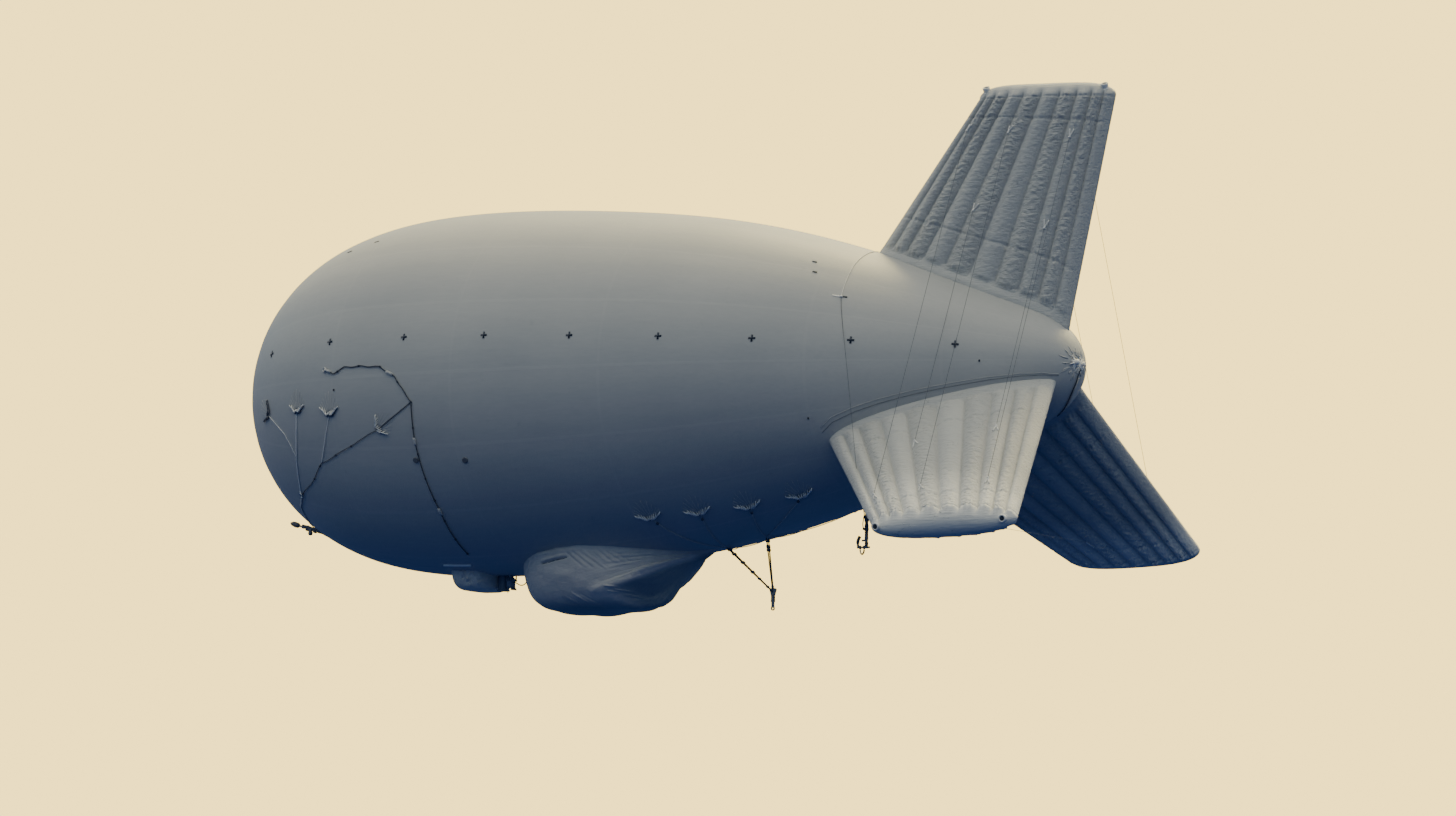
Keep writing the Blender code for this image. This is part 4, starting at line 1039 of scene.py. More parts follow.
def smooth_line(points, steps):
    """A Catmull-Rom curve through the points."""
    points = np.array(points, float)
    padded = np.vstack([2 * points[0] - points[1], points, 2 * points[-1] - points[-2]])
    line = []
    for k in range(len(points) - 1):
        p0, p1, p2, p3 = padded[k:k + 4]
        for t in np.arange(steps) / steps:
            line.append(0.5 * (2 * p1 + (p2 - p0) * t + (2 * p0 - 5 * p1 + 4 * p2 - p3) * t ** 2
                               + (3 * p1 - p0 - 3 * p2 + p3) * t ** 3))
    return np.array(line + [points[-1]])


cable_route = [(NOSE_X + s + CABLE_SHIFT, CABLE_Y, z) for s, z in CABLE_POINTS]
cable_line = smooth_line(cable_route, CABLE_STEPS)
cable_data = bpy.data.curves.new("avionics_cable", "CURVE")
cable_data.dimensions = "3D"
cable_data.bevel_depth = CABLE_DIAMETER / 2
cable_data.bevel_resolution = 4
cable_data.use_fill_caps = True
spline = cable_data.splines.new("POLY")
spline.points.add(len(cable_line) - 1)
for knot, place in zip(spline.points, cable_line):
    knot.co = (*place, 1.0)
cable_data.materials.append(LOOKS["cable"])
avionics_cable = bpy.data.objects.new("avionics_cable", cable_data)
bpy.context.scene.collection.objects.link(avionics_cable)
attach(avionics_cable, "root")
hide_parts("cable_loop")

# %% [markdown]
# ## Finger patches
# Every line is sewn to the cloth through a finger patch: tapes that spread from one loop, so that the
# pull is shared. Where the line pulls, the cloth puckers into a small crescent. A dark tube along the
# crescent's lower edge is painted shadow under its lobes, and the lashes above it are puckered cloth whose
# pale finish on most patches also paints the light on the upper face. The patch is a wedge with scalloped
# edges, and its tapes are thin strips that follow the hull.

# %% Finger patches
FINGERS = 9
LASHES = 17
BROW_STEPS = 14


def finger_patch(rigging, s, below, side, width, reach, droop, look, turn=0.0):
    """Two lobes and a fan of tapes. The pull is downwards, or turned from there by the given degrees."""
    centre, normal = on_hull(s, below, side)
    up = (on_hull(s, below - 1, side)[0] - centre).normalized()
    ahead = normal.cross(up).normalized() * side
    cos_turn, sin_turn = math.cos(math.radians(turn)), math.sin(math.radians(turn))
    up, ahead = up * cos_turn + ahead * sin_turn, ahead * cos_turn - up * sin_turn

    def spot_at(across, upward, lift):
        return centre + ahead * across + up * upward + normal * lift

    def brow_rise(t):
        """Height of the crescent, whose ends rise and whose two lobes dip."""
        return width * droop * (0.50 * abs(t) ** 1.5 - 0.20 * math.sin(math.pi * min(abs(t) * 1.5, 1)))

    # Painted shadow: the brow is a dark tube under the crescent's lobes.
    painted_shadow_brow = []
    for k in range(2 * BROW_STEPS + 1):
        t = k / BROW_STEPS - 1
        painted_shadow_brow.append(spot_at(t * width, brow_rise(t), 0.022 * (1 - 0.7 * abs(t))))
    brow_size = 0.055 if look == "strap" else 0.095
    rigging.tube(painted_shadow_brow, lambda share: width * brow_size * (1 - 0.65 * abs(2 * share - 1)), "strap")
    # The lashes are puckered cloth; where their finish is pale, it also paints the light on the crescent's
    # upper face.
    for k in range(LASHES):
        t = 2 * (k + 0.5) / LASHES - 1
        foot = (t * width * 0.96, brow_rise(t) + width * 0.05)
        lean = math.radians(62 * t + 14 * math.sin(5.0 * k))
        fullness = 0.75 + 0.5 * math.sin(math.pi * min(abs(t) * 1.1, 1))
        length = width * (0.34 + 0.10 * math.sin(2.3 * k)) * fullness
        path = [spot_at(foot[0] + math.sin(lean) * length * n, foot[1] + math.cos(lean) * length * n,
                        0.045 * (1 - 0.35 * abs(t)) * (1 - n) ** 0.7 + 0.003) for n in (0.0, 0.35, 0.7, 1.0)]
        rigging.tube(path, lambda share: width * 0.055 * (1 - 0.65 * share), look, 6)
    for k in range(FINGERS):
        t = 2 * k / (FINGERS - 1) - 1
        lean = math.radians(46 * t)
        length = reach * (0.75 + 0.25 * math.cos(3.1 * t))
        root = centre + ahead * t * width * 0.45 + up * width * 0.25
        path, normals = [], []
        for n in range(7):
            spot = root + (up * math.cos(lean) + ahead * math.sin(lean)) * length * n / 6
            along = spot.x - NOSE_X
            around = math.degrees(math.atan2(-spot.z, -spot.y if side < 0 else spot.y))
            p, q = on_hull(along, around, side, 0.004)
            path.append(p)
            normals.append(q)
        rigging.tape(path, normals, lambda share: 0.016 * (1 - 0.75 * share), 0.002, "tape")


# %% [markdown]
# ## Nose bridle
# Four finger patches on each side hold the nose to the probe. Light webbing runs down from each to a
# ring, and a strap goes on from the ring under the hull. One line meets its neighbour on the way.

# %% Nose bridle
SIDES = ((-1, "port"), (1, "starboard"))
NOSE_RING = (2.19, 41.8)
# Columns: width, and corners as distance from the nose and degrees below the horizontal
NOSE_LINES = (
    (0.022, ((2.69, 9.7), (2.62, 16.0), (2.53, 22.1), (2.46, 25.8), (2.36, 32.0), NOSE_RING)),
    (0.011, ((1.76, 11.2), (2.04, 14.9), (2.24, 17.8), (2.37, 21.8), (2.46, 25.8))),
    (0.014, ((3.54, 11.4), (3.43, 16.1), (3.33, 20.3), (3.13, 27.2))),
)
ROPE_BRANCH = (
    (5.43, 8.6), (4.64, 16.6), (4.14, 19.8), (3.79, 22.6), (3.13, 27.2), (2.81, 33.0), NOSE_RING,
)
BRANCH_KNOTS = (0.02, 0.28, 0.42, 0.60, 0.74, 0.99)
# Columns: distance from the nose, degrees below, half width, turn, look of the puckers
NOSE_PATCHES = (
    (1.76, 10.6, 0.22, -62, "strap"), (2.70, 9.9, 0.20, 0, "bright_cloth"),
    (3.55, 11.2, 0.22, 0, "bright_cloth"), (4.64, 16.2, 0.20, 58, "bright_cloth"),
)
RING_STRAP = (NOSE_RING, (2.08, 45.0), (1.90, 49.2), (1.68, 62.0), (1.58, 78.0), (1.52, 88.5))


def wavy_route(corners, side, sway, bend, step=0.08):
    """A rope's route on the hull, which sways a little to both sides, and its normals."""
    path, normals = route(corners, side, 0.014, step)
    path = [p + n.cross((1, 0, 0)) * sway * math.sin(k * bend) for k, (p, n) in enumerate(zip(path, normals))]
    return path, normals


for side, side_name in SIDES:
    bridle = Rigging("tape", "bright_cloth", "strap", "rope", "bright")
    for s, below, width, turn, look in NOSE_PATCHES:
        finger_patch(bridle, s, below, side, width, 0.36, 1.0, look, turn)
        bridle.knot(on_hull(s, below, side, 0.03)[0], (0, 0, 1), 0.020, "rope")
    for width, corners in NOSE_LINES:
        path, normals = route(corners, side, 0.006)
        bridle.tape(path, normals, width, 0.010, "bright_cloth")
    path, _ = wavy_route(ROPE_BRANCH[1:], side, 0.012, 0.7)
    bridle.tube(path, 0.0065, "rope")
    for share in BRANCH_KNOTS:
        at_knot = int(share * (len(path) - 1))
        bridle.knot(path[at_knot], path[min(at_knot + 1, len(path) - 1)] - path[at_knot - 1], 0.017, "rope")
    for corners, width, thickness in ((RING_STRAP[:3], 0.034, 0.010), (RING_STRAP[2:], 0.035, 0.008)):
        path, normals = route(corners, side, 0.008)
        bridle.tape(path, normals, width, thickness, "tape")
    centre, normal = on_hull(*NOSE_RING, side, 0.02)
    bridle.ring(centre, normal, 0.045, 0.010, "bright")
    bridle.knot(centre + Vector((0, 0, 0.06)), (0, 0, 1), 0.034, "bright_cloth")
    bridle.finish(f"bridle_{side_name}", "root", (f"nose_bridle_{side_name}",))

# %% [markdown]
# ## Handling rope
# A long dark rope hangs over each side. It is clipped near the widest line and knotted every half metre
# or so, and its branch leads forward to the nose ring. It lies on the cloth all the way.

# %% Handling rope
HULL_ROPE = (
    (3.44, -3.0), (3.65, -1.5), (3.93, -3.3), (4.32, -3.2), (4.75, -2.6), (5.09, 0.8), (5.43, 8.6),
    (5.41, 20.2), (5.43, 29.9), (5.46, 44.3), (5.42, 55.0), (5.39, 66.0),
)
for side, side_name in SIDES:
    rope = Rigging("rope", "bright", "tape")
    path, normals = wavy_route(HULL_ROPE, side, 0.010, 0.9, 0.05)
    rope.tube(path, 0.010, "rope")
    for k in range(6, len(path) - 1, 9):
        rope.knot(path[k], path[k + 1] - path[k - 1], 0.018, "rope")
    for k in range(0, len(path) - 4, 27):
        rope.tape(path[k:k + 4], normals[k:k + 4], 0.05, 0.018, "tape")
    path, _ = route(ROPE_BRANCH[:2], side, 0.014)
    rope.tube(path, 0.008, "rope")
    rope.ring(*on_hull(*HULL_ROPE[0], side, 0.02), 0.035, 0.009, "bright")
    rope.finish(f"handling_rope_{side_name}", "root")

# %% [markdown]
# ## Cross marks
# A row of small dark crosses runs along each side, taped at equal steps as a reference for the shape.
# They are copies of one cross, so a Geometry Nodes tree puts them on points that carry their turn.

# %% Cross marks
CROSSES = (
    (1.77, -12.8), (3.49, -12.1), (5.21, -11.5), (6.90, -11.0), (8.61, -10.2), (10.29, -9.6),
    (11.95, -9.3), (13.59, -10.3), (15.26, -11.8),
)
# Half the length and half the width of the cross's arms
ARM, WIDE = 0.062, 0.017
# Bottom and top of the cross, so that it is sunk in the curved cloth and stands a little proud
CROSS_HEIGHTS = (-0.012, 0.003)
outline = [(-WIDE, -ARM), (WIDE, -ARM), (WIDE, -WIDE), (ARM, -WIDE), (ARM, WIDE), (WIDE, WIDE),
           (WIDE, ARM), (-WIDE, ARM), (-WIDE, WIDE), (-ARM, WIDE), (-ARM, -WIDE), (-WIDE, -WIDE)]
cross_points = [(x, y, z) for z in CROSS_HEIGHTS for x, y in outline]
cross_faces = [tuple(range(11, -1, -1)), tuple(range(12, 24))]
cross_faces += [(k, (k + 1) % 12, 12 + (k + 1) % 12, 12 + k) for k in range(12)]
cross_shape = mesh_from("cross_shape", cross_points, cross_faces)
cross_source = bpy.data.objects.new("cross_source", cross_shape)


def scatter(name, places, source, look):
    """Copies of a source object on oriented points, made by a Geometry Nodes tree."""
    cloud = bpy.data.meshes.new(name + "_points")
    cloud.from_pydata([tuple(p) for p, _ in places], [], [])
    turns = cloud.attributes.new("turn", "FLOAT_VECTOR", "POINT")
    flat = [c for _, rotation in places for c in rotation]
    turns.data.foreach_set("vector", flat)
    holder = link(name + "_holder", cloud)
    tree = bpy.data.node_groups.new(name, "GeometryNodeTree")
    tree.interface.new_socket("Geometry", in_out="INPUT", socket_type="NodeSocketGeometry")
    size_socket = tree.interface.new_socket("Size", in_out="INPUT", socket_type="NodeSocketFloat")
    tree.interface.new_socket("Geometry", in_out="OUTPUT", socket_type="NodeSocketGeometry")
    nodes = tree.nodes
    entry, leave = nodes.new("NodeGroupInput"), nodes.new("NodeGroupOutput")
    copies = nodes.new("GeometryNodeInstanceOnPoints")
    thing = nodes.new("GeometryNodeObjectInfo")
    thing.inputs["Object"].default_value = source
    turn = nodes.new("GeometryNodeInputNamedAttribute")
    turn.data_type = "FLOAT_VECTOR"
    turn.inputs["Name"].default_value = "turn"
    as_turn = nodes.new("FunctionNodeEulerToRotation")
    real = nodes.new("GeometryNodeRealizeInstances")
    coat = nodes.new("GeometryNodeSetMaterial")
    coat.inputs["Material"].default_value = LOOKS[look]
    join = tree.links.new
    join(entry.outputs["Geometry"], copies.inputs["Points"])
    join(thing.outputs["Geometry"], copies.inputs["Instance"])
    join(turn.outputs["Attribute"], as_turn.inputs["Euler"])
    join(as_turn.outputs["Rotation"], copies.inputs["Rotation"])
    join(entry.outputs["Size"], copies.inputs["Scale"])
    join(copies.outputs["Instances"], real.inputs["Geometry"])
    join(real.outputs["Geometry"], coat.inputs["Geometry"])
    join(coat.outputs["Geometry"], leave.inputs["Geometry"])
    modifier = holder.modifiers.new(name, "NODES")
    modifier.node_group = tree
    modifier[size_socket.identifier] = 1.0
    ready = holder.evaluated_get(bpy.context.evaluated_depsgraph_get())
    made = link(name, bpy.data.meshes.new_from_object(ready))
    bpy.data.objects.remove(holder)
    return made


def hull_turn(s, below, side):
    """Euler angles that lay a flat shape on the hull, with its x axis along the hull."""
    _, normal = on_hull(s, below, side)
    along = (Vector((1, 0, 0)) - normal * normal.x).normalized()
    basis = Matrix((along, normal.cross(along), normal)).transposed()
    return tuple(basis.to_euler())


cross_places = []
for side, _ in SIDES:
    for place in CROSSES:
        cross_places.append((on_hull(*place, side, 0.006)[0], hull_turn(*place, side)))
cross_marks = scatter("cross_marks", cross_places, cross_source, "mark")
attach(cross_marks, "root")
print("cross marks", len(cross_marks.data.polygons), "faces")

# %% [markdown]
# ## Suspension lines
# Below the equator four larger patches a side carry the whole pull. Their lines lie on the hull down to
# the keel and leave it there as the stays, which meet at the plate.

# %% Suspension
STAY_PATCHES = ((9.46, 57.0), (10.37, 58.9), (11.26, 61.7), (12.19, 63.7))
KEEL_BELOW = 89.3
# Columns: distance from the nose, the patches whose lines meet there, the knots as shares of the stay
KEEL_POINTS = (
    (10.05, STAY_PATCHES[:2], (0.04, 0.14, 0.33, 0.55, 0.70, 0.88)),
    (10.86, STAY_PATCHES[2:], (0.05, 0.16, 0.22, 0.90)),
)
JOIN = (11.0, -3.77)
STAY_STEPS = 24
for side, side_name in SIDES:
    stays = Rigging("tape", "bright_cloth", "strap", "rope")
    join = Vector((NOSE_X + JOIN[0], 0.012 * side, JOIN[1]))
    for keel, patches, knots in KEEL_POINTS:
        keel_point, _ = on_hull(keel, KEEL_BELOW, side, 0.022)
        for place in patches:
            finger_patch(stays, *place, side, 0.24, 0.40, 0.8, "bright_cloth")
            path, _ = route((place, (keel, KEEL_BELOW)), side, 0.016)
            stays.tube(path, 0.007, "tape")
            stays.knot(path[2], path[3] - path[1], 0.024, "strap")
        path = [keel_point.lerp(join, k / STAY_STEPS) for k in range(STAY_STEPS + 1)]
        stays.tube(path, 0.012, "rope")
        for share in knots:
            size = 0.026 if share < 0.6 else 0.021
            stays.knot(keel_point.lerp(join, share), join - keel_point, size, "strap")
    stays.finish(f"stays_{side_name}", "root", (f"suspension_{side_name}",))

# %% [markdown]
# ## Fin guys
# Lines from fin to fin keep the fins spread. Each end is a V of tape sewn to the fin's face, with a knot at
# its point. The inner lines bend round the hull, so their path is found by pulling a string tight: each
# point moves to the mean of its neighbours, and is then put back outside the hull.

# %% Fin guys
# Columns: share of the chord, share of the way to the tip
GUY_SPOTS = ((0.14, 0.79), (0.42, 0.36), (0.42, 0.79), (0.75, 0.36), (0.75, 0.79))
# Columns: first fin and face, second fin and face, look of the line, places of the lines
GUY_PAIRS = (
    (0, 1, 1, -1, "thin_line", GUY_SPOTS), (0, -1, 2, 1, "thin_line", GUY_SPOTS),
    (1, 1, 2, -1, "tape", GUY_SPOTS[2:3]),
)
GUY_RADIUS = 0.0035
HULL_ANCHOR = (13.28, -33.0)
ANCHOR_ROOT = (13.10, -87.0)


def fin_axes(angle):
    """Directions out along a fin and across its plane."""
    turn = math.radians(angle)
    outward = Vector((0, -math.cos(turn), math.sin(turn)))
    return outward, Vector((1, 0, 0)).cross(outward)


def on_fin(number, face, share, along, lift=0.0):
    """A point on a fin's face, and the face's normal. The face is 1 or -1 across the fin."""
    _, angle, offset = FINS[number]
    u = rib_place(share)
    root_x = FIN_ROOT[0] + (FIN_ROOT[1] - FIN_ROOT[0]) * u
    root = np.array((root_x, float(hull_radius(root_x))))
    spot = root + (FIN_TIP_FORE + (FIN_TIP_AFT - FIN_TIP_FORE) * u - root) * along
    fullness = math.sqrt(max(1 - abs(2 * u - 1) ** 2.4, 0))
    lobe = FIN_LOBE * abs(math.sin(math.pi * FIN_RIBS * share)) ** 0.7 - FIN_VALLEY
    half = (FIN_HALF[0] + (FIN_HALF[1] - FIN_HALF[0]) * along) * fullness + lobe * min(fullness * 1.5, 1)
    outward, across = fin_axes(angle)
    normal = across * face
    place = Vector((NOSE_X + spot[0], 0, 0)) + outward * spot[1] + across * offset + normal * (half + lift)
    return place, normal


def tight_string(a, b, lift=0.012, count=56):
    """Points of a line drawn tight from a to b round the hull."""
    points = np.array([list(Vector(a).lerp(Vector(b), k / (count - 1))) for k in range(count)])
    for _ in range(400):
        points[1:-1] = (points[:-2] + points[2:]) / 2
        reach = np.hypot(points[:, 1], points[:, 2])
        least = hull_radius(points[:, 0] - NOSE_X) + lift
        push = np.where(reach < least, least / np.maximum(reach, 1e-6), 1.0)
        points[1:-1, 1:] *= push[1:-1, None]
    return [Vector(p) for p in points]


def sew_on(rigging, number, face, share, along):
    """The V of tape at a line's end, and the knot at its point. Gives the place where the line ends."""
    place, normal = on_fin(number, face, share, along, 0.014)
    for step in (-0.013, 0.013):
        leg = [on_fin(number, face, share + step * k / 6, along + 0.040 * k / 6, 0.008) for k in range(7)]
        rigging.tape([spot for spot, _ in leg], [out for _, out in leg], 0.020, 0.014, "bright_cloth")
    rigging.knot(place, normal, 0.021, "bright_cloth")
    return place


guys = Rigging("thin_line", "bright_cloth", "tape")
for first, first_face, second, second_face, look, spots in GUY_PAIRS:
    for spot in spots:
        ends = sew_on(guys, first, first_face, *spot), sew_on(guys, second, second_face, *spot)
        guys.tube(tight_string(*ends), GUY_RADIUS, look, 6)
for number, side in ((1, -1), (2, 1)):
    anchor, _ = on_hull(*HULL_ANCHOR, side, 0.014)
    root, _ = on_hull(*ANCHOR_ROOT, side, 0.014)
    fin_end, _ = on_fin(number, side, 0.093, 0.44, 0.014)
    guys.tube(tight_string(root, anchor, count=30), 0.006, "bright_cloth", 6)
    guys.tube(tight_string(anchor, fin_end), GUY_RADIUS, "thin_line", 6)
    guys.knot(anchor, (1, 0, 0), 0.022, "bright_cloth")
guys.finish("fin_guys", "root")

# %% [markdown]
# ## Tail and small marks
# The tail is gathered and tied off, and a cord hangs from the knot. Frills of cloth stand out round it,
# and puckers run on over the tail. Small tapes and reference marks finish the hull.

# %% Tail and marks
TAIL_TIP = Vector((NOSE_X + 16.965, -0.21, 0.0))
TAIL_PLACES = np.linspace(16.2, 17.0, 200)
TAIL_RADII = hull_radius(TAIL_PLACES)
TAIL_CORD = ((16.99, 60.0), (16.93, 74.0), (16.82, 84.0), (16.68, 95.0), (16.52, 104.0), (16.40, 109.0))
FRILLS = 15
PUCKERS = 26
details = Rigging("bright_cloth", "tape", "rope", "mark", "seam")
for k, turn in enumerate(turns_of(FRILLS)):
    reach = 0.075 + 0.035 * ((k * 7) % 3)
    out = Vector((0, math.cos(turn), math.sin(turn)))
    path = [TAIL_TIP + out * reach * t + Vector((0.030 * (1 - t) ** 2 - 0.012 * t, 0, 0))
            for t in (0.0, 0.35, 0.7, 1.0)]
    details.tube(path, lambda share: 0.022 * (1 - 0.7 * share), "bright_cloth", 8)
details.knot(TAIL_TIP + Vector((0.03, 0, 0.01)), (1, 0, 0), 0.052, "bright_cloth")
for k, turn in enumerate(turns_of(PUCKERS)):
    turn += 0.1 * math.sin(3 * k)
    start, stop = 0.15 + 0.03 * math.sin(2.3 * k), 0.26 + 0.06 * math.sin(1.7 * k)
    path = []
    for n in range(5):
        reach = start + (stop - start) * n / 4
        y, z = TAIL_TIP.y + reach * math.cos(turn), reach * math.sin(turn)
        s_here = float(np.interp(-math.hypot(y, z), -TAIL_RADII, TAIL_PLACES))
        path.append((NOSE_X + s_here + 0.002, y, z))
    details.tube(path, lambda share: 0.002 + 0.011 * math.sin(math.pi * share), "tape", 6)
path, _ = route(TAIL_CORD, -1, 0.014, 0.04)
details.tube(path, 0.010, "rope")
path, normals = route([(s + 0.03, below + 5) for s, below in TAIL_CORD[1:]], -1, 0.008, 0.04)
details.tape(path, normals, 0.022, 0.005, "tape")

FIN_FLANGE = (
    (13.00, 33.0), (13.20, 29.0), (13.60, 25.6), (14.00, 23.2), (14.60, 20.6), (15.20, 18.6), (15.80, 16.9),
    (16.30, 16.6), (16.62, 19.0), (16.80, 26.0),
)
# Columns: distance from the nose, degrees below, half length, look
MARK_TAPES = (
    (13.20, -33.0, 0.07, "bright_cloth"), (13.34, -33.3, 0.04, "mark"), (3.45, -56.1, 0.05, "mark"),
    (2.85, -54.2, 0.05, "mark"), (12.57, -51.7, 0.04, "mark"), (12.68, -45.0, 0.04, "mark"),
)
MARK_DOTS = ((3.68, 3.6), (12.83, 25.3), (15.66, 0.6))
BELLY_SLEEVE = ((4.57, 72.9), (5.16, 73.2))
for side, _ in SIDES:
    for shift, look in ((0.0, "seam"), (-2.4, "tape")):
        path, normals = route([(s, below + shift) for s, below in FIN_FLANGE], side, 0.004)
        details.tape(path, normals, 0.014, 0.003, look)
    for s, below, size, look in MARK_TAPES:
        path, normals = route(((s - size, below), (s + size, below)), side, 0.004, 0.03)
        details.tape(path, normals, 0.03, 0.006, look)
    for place in MARK_DOTS:
        details.knot(on_hull(*place, side, 0.008)[0], (0, 0, 1), 0.016, "mark")
    path, _ = route(BELLY_SLEEVE, side, 0.010, 0.05)
    details.tube(path, 0.024, "bright_cloth")
details.finish("cloth_details", "root")

# %% [markdown]
# ## Fin valves
# Each fin is filled through two valves in its tip. A valve is a fabric collar round a short tube, with a
# band tied round it. A thin dark disc in its mouth paints the shade inside the tube. The collar is a loft
# through a few rings, which give it the flare at its mouth.

# %% Fin valves
VALVE_LENGTH = 0.15
VALVE_MOUTH = 0.90
VALVE_TILT = 0.6
# Columns: share of the length, radius
VALVE_PROFILE = (
    (0.00, 0.052), (0.35, 0.056), (0.70, 0.062), (0.90, 0.066), (1.00, 0.060), (1.00, 0.046), (0.90, 0.042),
)
VALVE_FACING = {"upper": 1, "port": -1, "starboard": 1}
valves = Rigging("bright_cloth", "mark")
valve_nodes = []
for fin_name, angle, _ in FINS:
    outward, across = fin_axes(angle)
    axis = (outward + across * VALVE_FACING[fin_name] * VALVE_TILT).normalized()
    a = axis.orthogonal().normalized()
    b = axis.cross(a)
    for end in ("fore", "aft"):
        valve_nodes.append(f"fin_{fin_name}_valve_{end}")
        low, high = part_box(valve_nodes[-1])
        centre = (Vector(low) + Vector(high)) / 2
        rings = []
        for share, radius in VALVE_PROFILE:
            middle = centre + axis * (share * VALVE_LENGTH - VALVE_LENGTH / 2)
            rings.append([middle + (a * math.cos(t) + b * math.sin(t)) * radius for t in turns_of(24)])
        valves.loop_body(rings, "bright_cloth")
        mouth = centre + axis * (VALVE_MOUTH * VALVE_LENGTH - VALVE_LENGTH / 2)
        # Painted shade: a thin dark disc in the mouth.
        valves.tube([mouth, mouth + axis * 0.006], 0.040, "mark", 20)
        valves.ring(centre - axis * 0.02, axis, 0.060, 0.012, "bright_cloth")
valves.finish("valve_collars", "root", valve_nodes)

# %% [markdown]
# ## Handling gear
# The probe, the hook and its strap carry lashings, because rope is easier to replace in the field than a
# bolt. They ride on the same body as the piece that they are tied to.

# %% Probe lashing
BOOM_TIP = Vector((NOSE_X + 0.45, 0, -2.322))
SLEEVE_TURNS = 9
TURN_STEPS = 10
boom_foot, _ = on_hull(1.45, 90)
along = BOOM_TIP - boom_foot
across = Vector((0, 1, 0))
up = along.cross(across).normalized()
up = up if up.z > 0 else -up


def on_boom(share, rise=0.0):
    """A point at a share of the probe's length, and so far above its middle line."""
    return boom_foot + along * share + up * rise


lashing = Rigging("rope", "strap")
inner = [on_boom(share) for share in np.linspace(0.05, 0.60, 20)]
lashing.tube(inner, lambda share: 0.040 - 0.010 * share + 0.005 * math.sin(17 * share), "strap", 14)
outer = [on_boom(share, 0.016) for share in np.linspace(0.58, 0.93, 26)]
lashing.tube(outer, lambda share: 0.032 + 0.003 * math.sin(31 * share) * math.sin(7 * share), "strap", 14)
sleeve = []
for k in range(SLEEVE_TURNS * TURN_STEPS + 1):
    share = 0.60 + 0.08 * k / (SLEEVE_TURNS * TURN_STEPS)
    spin = 2 * math.pi * k / TURN_STEPS
    sleeve.append(on_boom(share, 0.010) + (up * math.cos(spin) + across * math.sin(spin)) * 0.026)
lashing.tube(sleeve, 0.006, "rope", 6)
lashing.knot(on_boom(0.80, 0.030), along, 0.026, "strap")
for share in (0.618, 0.800):
    lashing.knot(on_boom(share, -0.020), along, 0.036, "strap")
lashing.finish("probe_lashing", "root")

# %% Hook lashings
HOOK_AT = Vector((NOSE_X + 12.87, 0, -2.80))
STRAP_FOOT, STRAP_LENGTH = -2.735, 0.52
STRAP_STEPS = 24
hanger = Rigging("strap", "rope")
strap_rings = []
for k in range(STRAP_STEPS + 1):
    share = k / STRAP_STEPS
    z = STRAP_FOOT + STRAP_LENGTH * share
    half = 0.038 + 0.006 * math.sin(19 * share) + 0.004 * math.sin(41 * share)
    strap_rings.append([(HOOK_AT.x + half * math.cos(t), 0.024 * math.sin(t), z) for t in turns_of(16)])
hanger.loop_body(strap_rings, "strap")
wrap_path = [(HOOK_AT.x - 0.055 - 0.016 * math.sin(9 * t), -0.012 + 0.010 * math.cos(7 * t), -2.71 + 0.47 * t)
             for t in np.linspace(0, 1, 30)]
hanger.tube(wrap_path, 0.009, "rope", 8)
for share in (0.05, 0.45, 0.92):
    hanger.knot(wrap_path[int(share * 29)], (0, 0, 1), 0.018, "rope")
hanger.finish("hanger_wrap", "root")


def run_from(place, run):
    """Points at the given distances aft of and above a place."""
    return [place + Vector((dx, 0, dz)) for dx, dz in run]


HORN_RUN = ((-0.132, -0.026), (-0.160, -0.080), (-0.172, -0.120), (-0.173, -0.150))
SHANK_RUN = ((0.002, -0.130), (0.002, -0.160), (0.002, -0.190))
hook_wrap = Rigging("strap")
hook_wrap.tube(run_from(HOOK_AT, HORN_RUN), 0.029, "strap", 12)
hook_wrap.tube(run_from(HOOK_AT, SHANK_RUN), 0.032, "strap", 12)
hook_wrap.finish("hook_wrap", "hook")

BOW_AT = HOOK_AT + Vector((-0.0825, 0, -0.22))
BOW_RUN = (
    (-0.040, -0.042), (-0.036, -0.070), (-0.026, -0.100), (0.0, -0.124), (0.026, -0.100), (0.036, -0.070),
    (0.040, -0.042),
)
# Painted light and shade: the wrap's left leg is pale and its right leg dark, for the lit and the shaded side
# of one wrap.
bow_wrap = Rigging("bright_cloth", "strap")
bow_wrap.tube(run_from(BOW_AT, BOW_RUN[:4]), 0.014, "bright_cloth", 10)
bow_wrap.tube(run_from(BOW_AT, BOW_RUN[3:]), 0.0142, "strap", 10)
bow_wrap.finish("bow_wrap", "bow")

# %% [markdown]
# ## Glands and bolts
# Cables enter the junction box through rubber glands, each with a metal nut, and small hexagonal bolts
# hold the sides of both boxes. The glands differ, so they are drawn one by one. The bolts are copies of
# one shape, so the tree that set the cross marks puts them in their places.

# %% Glands and bolts
# Columns: y and z, how far the gland stands out, radius
GLANDS = ((-0.075, -3.610, 0.045, 0.016), (-0.005, -3.620, 0.030, 0.014), (-0.040, -3.632, 0.055, 0.012))
# Columns: radius, and height over the box
BOLT_PROFILE = ((0.0085, -0.004), (0.0085, 0.006), (0.0060, 0.009))
BOLT_INSET = 0.014
glands = Rigging("rubber", "metal")
_, box_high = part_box("junction_box")
aft_x = box_high[0]
for y, z, reach, size in GLANDS:
    path = [(aft_x - 0.01, y, z), (aft_x + reach * 0.5, y, z), (aft_x + reach, y, z - 0.010)]
    glands.tube(path, size, "rubber", 10)
    glands.ring((aft_x + 0.006, y, z), (1, 0, 0), size, 0.005, "metal", 12, 6)
glands.finish("cable_glands", "root")

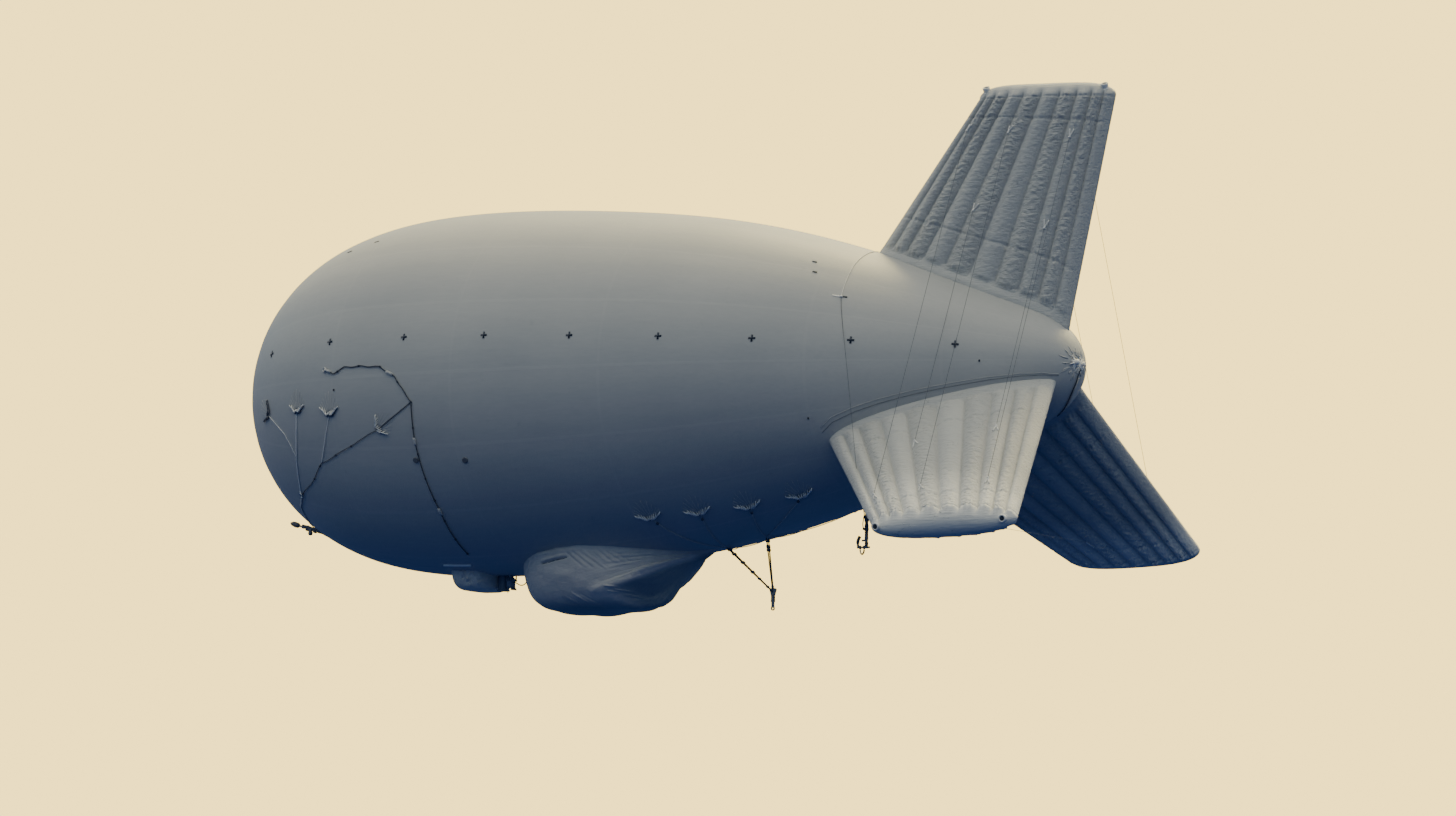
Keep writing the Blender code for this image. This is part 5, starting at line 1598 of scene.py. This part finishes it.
bolt_rings = []
for radius, rise in BOLT_PROFILE:
    bolt_rings.append([(radius * math.cos(t), radius * math.sin(t), rise) for t in turns_of(6)])
bolt_ends = [(0, 0, rise) for _, rise in (BOLT_PROFILE[0], BOLT_PROFILE[-1])]
bolt_shape = mesh_from("bolt_shape", *closed_skin(bolt_rings, *bolt_ends))
bolt_source = bpy.data.objects.new("bolt_source", bolt_shape)
bolt_places = []
for node in ("avionics_box", "junction_box"):
    low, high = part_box(node)
    xs = (low[0] + BOLT_INSET, (low[0] + high[0]) / 2, high[0] - BOLT_INSET)
    zs = (low[2] + BOLT_INSET, high[2] - BOLT_INSET)
    for y, tilt in ((low[1], math.pi / 2), (high[1], -math.pi / 2)):
        bolt_places += [(Vector((x, y, z)), (tilt, 0, 0)) for x in xs for z in zs]
box_bolts = scatter("box_bolts", bolt_places, bolt_source, "metal")
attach(box_bolts, "root")
print("bolts", len(bolt_places))

# %% [markdown]
# ## Windscreen tuck
# A short tuck is sewn in each side of the windscreen, and a dark strip in its groove paints its shadow. Its
# points are found by rays that meet the finished cloth from outside, because the folds have moved the cloth.

# %% Windscreen tuck
TUCK = (
    (6.90, -3.280), (6.97, -3.262), (7.06, -3.246), (7.16, -3.229), (7.27, -3.212), (7.38, -3.192),
    (7.48, -3.176),
)
OUTSIDE = 3.0
cloth_faces = [list(face.vertices) for face in windscreen_skin.data.polygons]
cloth_tree = BVHTree.FromPolygons([v.co for v in windscreen_skin.data.vertices], cloth_faces)


def on_cloth(s, z, side, lift):
    """A point on the windscreen's side, found by a ray from outside."""
    ray = Vector((NOSE_X + s, OUTSIDE * side, z)), Vector((0, -side, 0))
    place, normal, _, _ = cloth_tree.ray_cast(*ray)
    if normal.y * side < 0:
        normal = -normal
    return place + normal * lift, normal


tuck_shadow = Rigging("mark")
for side, _ in SIDES:
    groove_spots = [on_cloth(s, z, side, 0.003) for s, z in TUCK]
    path, normals = [place for place, _ in groove_spots], [normal for _, normal in groove_spots]
    # Painted shadow: a dark strip in the tuck's groove.
    tuck_shadow.tape(path, normals, lambda share: 0.016 * math.sin(math.pi * share) + 0.004, 0.004, "mark")
tuck_shadow.finish("windscreen_tuck", "root")
